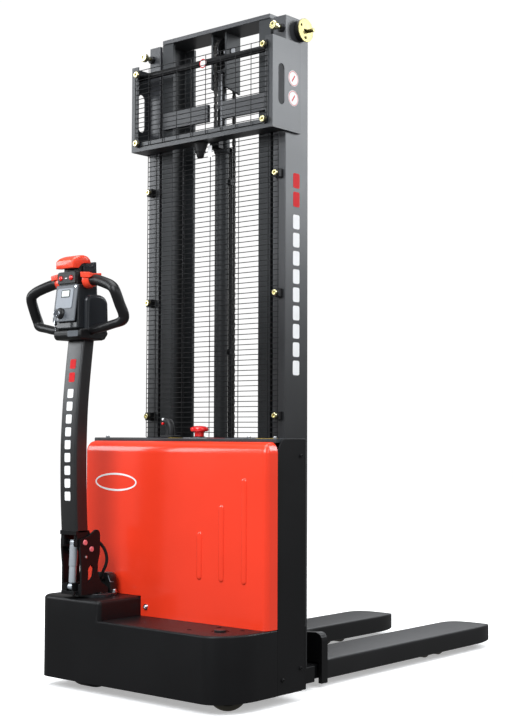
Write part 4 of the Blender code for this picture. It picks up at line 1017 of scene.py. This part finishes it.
# ---- tiller --------------------------------------------------------------------------------------
def make_drive_top(finish):
    top = HOUSING_TOP + GAP
    disc = turned(
        [(0, 0.2556), (0.0575, 0.2556), (0.0575, top), (0.0710, top), (0.0710, top + 0.008),
         (0.0685, top + 0.010), (0, top + 0.010)],
        STEER, "Z", 72,
    )
    piece("turn_disc", disc, finish["gloss"], "steer", ["turntable"])
    screws = merged(*(bolt(STEER + Vector((x, y, top + 0.010)), "Z", 0.0055, 1)
                      for x, y in ((-0.050, 0.036), (-0.056, -0.026), (0.056, -0.026), (-0.020, 0.058))))
    piece("turn_disc_screws", screws, finish["moulded"], "steer")
    silver = merged(bolt(STEER + Vector((0.052, 0.036, top + 0.012)), "Z", 0.0075, 1),
                    ring(0.005, 0.0105, STEER + Vector((0.052, 0.036, 0)), "Z", top + 0.010, top + 0.012,
                         28))
    piece("turn_disc_bolt", silver, finish["steel"], "steer")
    cap_at = STEER + Vector((0.010, 0.033, 0))
    dome = [
        (0, 0.2981), (0.0385, 0.2981), (0.0400, 0.2995), (0.0400, 0.318), (0.0392, 0.322), (0.0392, 0.326),
        *arc((0.0200, 0.338), (0.0185, 0.0195), 0, 90, 8), (0, 0.358),
    ]
    made = raw_object("motor_dome", turned(dome, cap_at, "Z", 56), finish["moulded"])
    booleaned(made, "DIFFERENCE",
              block(STEER + Vector((-0.1, -0.1, 0.2)), STEER + Vector((0.1, 0.0227, 0.5))))
    finished(made, "steer", ["drive_motor_cap"], bevel=0.001)
    plate = patch(((-0.030, -0.016), (0.030, 0.016)), "Z", 0, 0.0012, 0.004)
    label_at = cap_at + Vector((0.0325, -0.004, 0.3395))
    tilt = Matrix.Translation(label_at) @ Matrix.Rotation(radians(62), 4, "Y")
    bmesh.ops.scale(plate, verts=plate.verts, vec=(0.4, 0.5, 1))
    piece("motor_label", moved(plate, tilt), finish["label"], "steer")
    route = [
        (0.012, -0.333, 0.4830), (0.014, -0.318, 0.474), (0.024, -0.294, 0.460), (0.034, -0.276, 0.438),
        (0.038, -0.267, 0.412), (0.036, -0.266, 0.388), (0.028, -0.270, 0.366), (0.019, -0.270, 0.348),
        (0.014, -0.267, 0.3405), (0.014, -0.2597, 0.3400),
    ]
    line = smooth_route([(TILLER_X + x, y, z) for x, y, z in route], 8)
    tube_curve("tiller_lead", line, [0.005] * len(line), finish["rubber"], "steer",
               ["tiller_cable"], 6)
    gland = turned([(0.0052, -0.010), (0.0085, -0.010), (0.0095, -0.006), (0.0095, 0.0), (0.0052, 0.0)],
                   (TILLER_X + 0.014, -0.2597, 0.3400), "Y", 32)
    piece("lead_gland", gland, finish["moulded"], "steer")


def make_tiller(finish):
    make_drive_top(finish)
    dressed("tiller_bracket", finish["black"], 0.0018)
    for name, side in SIDES:
        caps = merged(*(turned([(0, 0.0455), (0.0085, 0.0455), (0.0085, 0.0485), (0.0070, 0.0500),
                                (0, 0.0505)],
                               (0, y, z), "X", 28) for y, z in ((-0.367, 0.460), (-0.340, 0.438))))
        caps = moved(mirrored(caps, side), Matrix.Translation((TILLER_X, 0, 0)))
        piece(f"pin_caps_{name}", caps, finish["pink"], "steer")
        small = bolt((TILLER_X + side * 0.046, -0.363, 0.415), "X", 0.0045, side)
        piece(f"bracket_screw_{name}", small, finish["steel"], "steer")
    half, edge = 0.0375, 0.007
    stations = (
        (-0.394, -0.344, 0.492), (-0.398, -0.348, 0.560), (-0.401, -0.351, 0.640), (-0.402, -0.352, 0.760),
        (-0.396, -0.348, 0.880), (-0.387, -0.339, 0.980), (-0.374, -0.326, 1.094),
    )
    line = smooth_route(stations, 5)
    rings = []
    for front, back, z in line:
        corners = rounded_rectangle((-half, front), (half, back), edge, 5)
        rings.append([(TILLER_X + x, y, z) for x, y in corners])
    piece("arm_tube", lofted(rings), finish["arm"], "tiller", ["tiller_arm"], sharp=50)
    lug = [
        (-0.392, 0.497), (-0.393, 0.455), *arc((-0.387, 0.452), (0.006, 0.006), 180, 270, 4),
        (-0.372, 0.444),
        *arc((-0.340, 0.438), (0.022, 0.022), 200, 360, 14), (-0.322, 0.470), (-0.345, 0.497),
    ]
    foot = raw_object("arm_foot",
                      block((TILLER_X - half, -0.3965, 0.484), (TILLER_X + half, -0.340, 0.4965)),
                      finish["black"])
    booleaned(
        foot, "UNION", extruded(lug, "X", TILLER_X - 0.0375, TILLER_X - 0.0225),
        extruded(lug, "X", TILLER_X + 0.0225, TILLER_X + 0.0375),
        *(rod(0.0070, SPRING_EYE, "X", *outward(side, 0.0105, 0.0300), 24) for side in (-1, 1)),
    )
    booleaned(foot, "DIFFERENCE", rod(0.0083, PIVOT, "X", -0.06, 0.06, 28))
    finished(foot, "tiller", bevel=0.0015)
    for colour, count, bottom, top in (("print_red", 2, 0.962, 1.034), ("white", 9, 0.590, 0.940)):
        marks = merged(*(patch(((-0.013, low), (0.013, high)), "Y", -0.0007, 0.0009, 0.004)
                         for low, high in spans(bottom, top, count)))
        for vertex in marks.verts:
            after = next(i for i, place in enumerate(line) if place.z > vertex.co.z)
            lower, upper = line[after - 1], line[after]
            share = (vertex.co.z - lower.z) / (upper.z - lower.z)
            vertex.co += Vector((TILLER_X, lower.x + (upper.x - lower.x) * share, 0))
        piece(f"arm_marks_{colour}", marks, finish[colour], "tiller")
    make_gas_spring(finish)
    make_head(finish)


def make_gas_spring(finish):
    along = SPRING_EYE - SPRING_FOOT
    place = Matrix.Translation(SPRING_FOOT) @ Matrix.Rotation(-atan2(along.y, along.z), 4, "X")
    lower = merged(
        turned([(0, 0.012), (0.0112, 0.012), (0.0117, 0.014), (0.0117, 0.0635), (0, 0.0635)], (0, 0, 0),
               "Z", 40),
        ring(0.0063, 0.0110, (0, 0, 0), "X", -0.0100, 0.0100, 32),
    )
    piece("spring_lower", moved(lower, place), finish["spring"], "spring_tube",
          ["gas_spring_tube"])
    sleeve = turned(
        [(0, 0.1240), (0.0119, 0.1240), (0.0119, 0.0640), (0.0129, 0.0640), (0.0132, 0.0650),
         (0.0132, 0.1285),
         (0.0120, 0.1300), (0, 0.1300)],
        (0, 0, 0), "Z", 40,
    )
    eye = rounded_rod(0.0100, 0.001, (0, 0, along.length - 0.002), "X", -0.0095, 0.0095, 32)
    piece("spring_upper", moved(merged(sleeve, eye), place), finish["spring"], "spring_sleeve",
          ["gas_spring_sleeve"])


def make_head(finish):
    x = TILLER_X

    def shell(name, side_view, half, colour, bevel, replaces=(), segments=4, body="tiller"):
        return piece(name, extruded(side_view, "X", x - half, x + half), finish[colour], body,
                     replaces, bevel, segments)

    def on_face(shape):
        """Lays a shape, made with its back at Y = 0, on the leaning front plate."""
        down = Matrix.Translation((0, 0, -FACE.z))
        return moved(shape, Matrix.Translation(FACE) @ Matrix.Rotation(-FACE_LEAN, 4, "X") @ down)

    core = [(-0.4115, 1.128), (-0.4085, 1.250), (-0.4075, 1.268), (-0.330, 1.268), (-0.322, 1.128)]
    shell("head_core", core, 0.0500, "gloss", 0.005, ["head_column"])
    front = block((x - 0.0505, 0, 1.1500), (x + 0.0505, 0.0060, 1.2680))
    piece("head_plate", on_face(front), finish["panel"], "tiller", (), 0.0028, 4)
    pocket = (x - 0.0345, -0.3975, 1.3005), (x + 0.0345, -0.3580, 1.3600)
    neck = [(-0.4090, 1.262), (-0.4090, 1.3095), (-0.328, 1.3095), (-0.322, 1.262)]
    made = raw_object("head_neck", extruded(neck, "X", x - 0.0430, x + 0.0430), finish["moulded"])
    booleaned(made, "DIFFERENCE", block(*pocket))
    finished(made, "tiller", bevel=0.0025)
    walls = [(-0.376, 1.225), (-0.376, 1.3290), (-0.340, 1.3310), (-0.3295, 1.345), (-0.322, 1.345),
             (-0.316, 1.225)]
    tower = raw_object("head_tower", extruded(walls, "X", x - 0.0375, x + 0.0375), finish["gloss"])
    booleaned(tower, "DIFFERENCE", block(*pocket))
    finished(tower, "tiller", (), 0.0025)
    shroud = [
        (-0.385, 1.112), (-0.385, 1.228), (-0.364, 1.239), (-0.326, 1.239),
        *arc((-0.322, 1.206), (0.032, 0.032), 80, 10, 6), (-0.288, 1.150), (-0.292, 1.122), (-0.305, 1.108),
    ]
    shell("head_shroud", shroud, 0.0640, "gloss", 0.013, segments=6)
    base = [
        (-0.404, 1.0945), (-0.412, 1.104), (-0.4118, 1.122), (-0.404, 1.128), (-0.330, 1.134),
        (-0.298, 1.132),
        (-0.290, 1.116), (-0.304, 1.098), (-0.314, 1.0945),
    ]
    shell("head_base", base, 0.0630, "moulded", 0.007, segments=4)
    plate = patch(((x + 0.005, 1.103), (x + 0.054, 1.122)), "Y", -0.4132, 0.002, 0.004)
    piece("base_plate", plate, finish["panel"], "tiller", bevel=0.0006)
    label = patch(((x - 0.041, 1.192), (x + 0.034, 1.2570)), "Y", -0.0016, 0.0030, 0.006)
    piece("head_label", on_face(label), finish["label"], "tiller", bevel=0.0006)
    frame_of_screen = patch(((x - 0.0200, 1.2270), (x + 0.0205, 1.2520)), "Y", -0.0022, 0.0012, 0.003)
    piece("display_frame", on_face(frame_of_screen), finish["moulded"], "tiller")
    screen = patch(((x - 0.0165, 1.2300), (x + 0.0170, 1.2490)), "Y", -0.0028, 0.0012, 0.002)
    piece("head_display", on_face(screen), finish["display"], "tiller")
    rivet = rounded_rod(0.0050, 0.001, (x + 0.042, 0, 1.2610), "Y", -0.0012, 0.004, 24)
    piece("head_rivet", on_face(rivet), finish["steel"], "tiller")
    spots = {}
    for name in ("lift", "lower"):
        low, high = local_box(f"{name}_button")
        spots[name] = Vector(((low.x + high.x) / 2, -0.410, (low.z + high.z) / 2))
    bezel = [
        *arc((x + 0.034, 1.3010), (0.007, 0.007), 0, 90, 4),
        *arc((x - 0.034, 1.3010), (0.007, 0.007), 90, 180, 4),
        (x - 0.041, 1.2715), (x + 0.041, 1.2715),
    ]
    made = raw_object("button_bezel", extruded(bezel, "Y", -0.4148, -0.4060), finish["moulded"])
    booleaned(made, "DIFFERENCE",
              *(rod(0.0084, (spot.x, 0, spot.z), "Y", -0.43, -0.40, 32) for spot in spots.values()))
    finished(made, "tiller", bevel=0.0010)
    mark = patch(((x - 0.0065, spots["lift"].z - 0.0015), (x + 0.0035, spots["lift"].z + 0.0015)), "Y",
                 -0.4152, 0.0006,
                 0.001)
    piece("bezel_mark", mark, finish["white"], "tiller")
    for name, spot in spots.items():
        button = turned([(0, -0.0095), (0.0050, -0.0090), (0.0074, -0.0072), (0.0078, -0.0040),
                         (0.0078, 0.0062), (0, 0.0062)],
                        spot, "Y", 36)
        piece(f"{name}_cap", button, finish["stop"], f"{name}_button", [f"{name}_button"])
    make_key(finish, x)
    make_grips(finish, x)
    make_belly_button(finish, x)
    make_throttle(finish)


def make_key(finish, x):
    at = Vector((x - 0.016, -0.430, 1.176))
    lock = turned(
        [(0.0072, -0.001), (0.0120, -0.001), (0.0180, 0.003), (0.0195, 0.009), (0.0205, 0.018),
         (0.0072, 0.018)], at, "Y", 40
    )
    piece("key_housing", lock, finish["moulded"], "tiller")
    barrel = rounded_rod(0.0070, 0.0008, at, "Y", -0.004, 0.0290, 28)
    bow = arc((at.y - 0.0125, at.z), (0.0105, 0.0105), 0, 360, 24)[:-1]
    blade = extruded(bow, "X", at.x - 0.0015, at.x + 0.0015)
    piece("key_blade", merged(barrel, blade), finish["steel"], "key", ["ignition_key"],
          bevel=0.0005)
    loop = turned(
        [(0.0095 + 0.0010 * cos(t), 0.0010 * sin(t)) for t in (2 * pi * i / 8 for i in range(8))],
        at + Vector((0.001, -0.0150, -0.0155)), "X", 36,
    )
    spare = extruded(
        [(at.y - 0.0200, at.z - 0.022), (at.y - 0.0100, at.z - 0.022), (at.y - 0.0095, at.z - 0.036),
         (at.y - 0.0120, at.z - 0.040), (at.y - 0.0125, at.z - 0.056), (at.y - 0.0155, at.z - 0.058),
         (at.y - 0.0165, at.z - 0.040), (at.y - 0.0205, at.z - 0.036)],
        "X", at.x + 0.0005, at.x + 0.0025,
    )
    piece("key_ring", merged(loop, spare), finish["steel"], "key")


def make_grips(finish, x):
    reach = (
        (0.0790, -0.375, 1.2800), (0.100, -0.376, 1.2785), (0.146, -0.385, 1.2660), (0.179, -0.390, 1.2535),
        (0.196, -0.391, 1.2370), (0.200, -0.375, 1.1990), (0.201, -0.358, 1.1650), (0.190, -0.357, 1.1470),
        (0.147, -0.360, 1.1370), (0.110, -0.362, 1.1300), (0.0550, -0.362, 1.1240),
    )
    for name, side in SIDES:
        line = smooth_route([(x + side * a, y, z) for a, y, z in reach], 8)
        radii = []
        for i in range(len(line)):
            t = i / (len(line) - 1)
            slim = min(1.0, max(0.0, (t - 0.66) / 0.10))
            radii.append(0.0170 - 0.0032 * slim * slim * (3 - 2 * slim))
        tube_curve(f"grip_loop_{name}", line, radii, finish["moulded"], "tiller",
                   [f"grip_{name}"], 8)


def make_belly_button(finish, x):
    stations = (
        # y, half width, underside, crown
        (-0.4240, 0.0365, 1.3195, 1.3400), (-0.4230, 0.0400, 1.3185, 1.3445),
        (-0.4140, 0.0405, 1.3185, 1.3515),
        (-0.3990, 0.0405, 1.3195, 1.3580), (-0.3880, 0.0405, 1.3320, 1.3612),
        (-0.3740, 0.0400, 1.3372, 1.3626),
        (-0.3580, 0.0390, 1.3385, 1.3605), (-0.3480, 0.0370, 1.3392, 1.3530),
        (-0.3415, 0.0320, 1.3400, 1.3465),
    )
    rings = []
    for y, half, under, crown in stations:
        edge = min(0.009, (crown - under) * 0.45)
        top = arc((half - edge, crown - edge), (edge, edge), 0, 90, 6)
        other = arc((-half + edge, crown - edge), (edge, edge), 90, 180, 6)
        flat = [(half - 0.001, under), (half, under + 0.002), *top, *other, (-half, under + 0.002),
                (-half + 0.001, under)]
        rings.append([(x + a, y, b) for a, b in flat])
    piece("safety_cap", lofted(rings), finish["control"], "belly_button", ["belly_button"],
          sharp=55)
    stem = block((x - 0.033, -0.3960, 1.3085), (x + 0.033, -0.3600, 1.3400))
    piece("safety_stem", stem, finish["moulded"], "belly_button", bevel=0.002)


def make_throttle(finish):
    shapes = []
    for side in (-1, 1):
        barrel = turned(
            [(0.0, 0.0525), (0.0230, 0.0525), (0.0250, 0.0545), (0.0250, 0.0640), (0.0225, 0.0710),
             (0.0210, 0.0775), (0.0190, 0.0785), (0.0, 0.0785)],
            (0, 0, 0), "X", 40,
        )
        wing = [
            (-0.0290, 0.0085), (-0.0310, 0.0215), *arc((-0.0280, 0.0225), (0.003, 0.003), 180, 60, 4),
            (-0.0120, 0.0235), (0, 0.0225), (0.0140, 0.0240), (0.0270, 0.0265),
            *arc((0.0290, 0.0235), (0.003, 0.003), 90, -30, 4), (0.0300, 0.0110), (0.0180, 0.0140),
            (0.0080, 0.0180), (-0.0080, 0.0180), (-0.0180, 0.0120),
        ]
        blade = extruded(wing, "X", 0.0535, 0.0900)
        for vertex in blade.verts:
            if vertex.co.x > 0.08:
                vertex.co.y *= 0.84
                vertex.co.z -= 0.0030
        both = mirrored(merged(barrel, blade), side)
        shapes.append(moved(both, Matrix.Translation(THROTTLE)))
    shapes.append(rod(0.0080, THROTTLE, "X", -0.0535, 0.0535, 24))
    piece("thumb_throttle", merged(*shapes), finish["control"], "throttle",
          ["butterfly_throttle"], 0.0012, 3)


# ---- stage ---------------------------------------------------------------------------------------
FLOOR_HALF_SIZE, FLOOR_GLOW = 30.0, 0.40
AMBIENT_LEVEL, BACKDROP_LEVEL = 0.24, 1.02
LAMP_COLOUR = (0.93, 0.965, 1.0)
SUN_POWER, SUN_SPREAD = 1.6, 70


def make_stage():
    floor_mesh = bmesh.new()
    bmesh.ops.create_grid(floor_mesh, x_segments=1, y_segments=1, size=FLOOR_HALF_SIZE)
    mesh = bpy.data.meshes.new("studio_floor")
    floor_mesh.to_mesh(mesh)
    floor_mesh.free()
    floor = bpy.data.objects.new("studio_floor", mesh)
    bpy.context.scene.collection.objects.link(floor)
    pale = surface("floor_pale", (0.86, 0.86, 0.86), 0.7, mottle=0.01, grain=0.02, specular=0.1)
    pale.node_tree.nodes["Principled BSDF"].inputs["Emission Color"].default_value = (1, 1, 1, 1)
    pale.node_tree.nodes["Principled BSDF"].inputs["Emission Strength"].default_value = FLOOR_GLOW
    floor.visible_diffuse = False
    floor.visible_glossy = False
    mesh.materials.append(pale)

    world = bpy.data.worlds.new("studio")
    bpy.context.scene.world = world
    world.use_nodes = True
    nodes, links = world.node_tree.nodes, world.node_tree.links
    background = nodes["Background"]
    path = nodes.new("ShaderNodeLightPath")
    level = nodes.new("ShaderNodeMapRange")
    # The backdrop is white to the camera and lights the truck only a little.
    level.inputs["To Min"].default_value = AMBIENT_LEVEL
    level.inputs["To Max"].default_value = BACKDROP_LEVEL
    links.new(path.outputs["Is Camera Ray"], level.inputs["Value"])
    background.inputs["Color"].default_value = (1, 1, 1, 1)
    links.new(level.outputs["Result"], background.inputs["Strength"])

    target = TRUCK + Vector((0, -0.1, 0.9))
    lights = (
        ("key", (1.0, -3.8, 3.2), 2.6, 190), ("right_fill", (4.4, -0.6, 2.6), 2.0, 45),
        ("top", (0.0, -0.2, 4.8), 3.4, 100),
        ("left_fill", (-3.6, -2.8, 2.5), 2.2, 90), ("back", (-1.2, 4.2, 3.0), 2.6, 60),
        ("mast_glow", (3.0, 3.3, 3.1), 2.2, 115),
    )
    for name, place, size, power in lights:
        data = bpy.data.lights.new(name, "AREA")
        data.shape = "SQUARE"
        data.size = size
        data.energy = power
        data.color = LAMP_COLOUR
        lamp = bpy.data.objects.new(name, data)
        bpy.context.scene.collection.objects.link(lamp)
        lamp.location = TRUCK + Vector(place)
        lamp.rotation_euler = (target - lamp.location).to_track_quat("-Z", "Y").to_euler()

    sky = bpy.data.lights.new("overhead", "SUN")
    sky.energy = SUN_POWER
    sky.angle = radians(SUN_SPREAD)
    overhead = bpy.data.objects.new("overhead", sky)
    bpy.context.scene.collection.objects.link(overhead)
    overhead.location = TRUCK + Vector((0, 0, 5))

    camera_data = bpy.data.cameras.new("camera")
    camera_data.lens = CAMERA_LENS
    camera_data.sensor_width = SENSOR_WIDTH
    camera = bpy.data.objects.new("camera", camera_data)
    bpy.context.scene.collection.objects.link(camera)
    camera.location = TRUCK + CAMERA_PLACE
    turn, pitch = radians(CAMERA_TURN), radians(CAMERA_PITCH)
    forward = Vector((-sin(turn) * cos(pitch), cos(turn) * cos(pitch), sin(pitch)))
    camera.rotation_euler = (
        forward.to_track_quat("-Z", "Y").to_matrix() @ Matrix.Rotation(radians(CAMERA_ROLL), 3, "Z")
    ).to_euler()
    bpy.context.scene.camera = camera
    bpy.context.scene.view_settings.view_transform = "Standard"


def main():
    finish = make_finishes()
    make_stage()
    make_chassis(finish)
    make_hood(finish)
    make_top_panel(finish)
    make_outer_mast(finish)
    make_lift(finish)
    make_guards(finish)
    make_carriage(finish)
    make_legs(finish)
    make_wheels(finish)
    make_tiller(finish)


main()
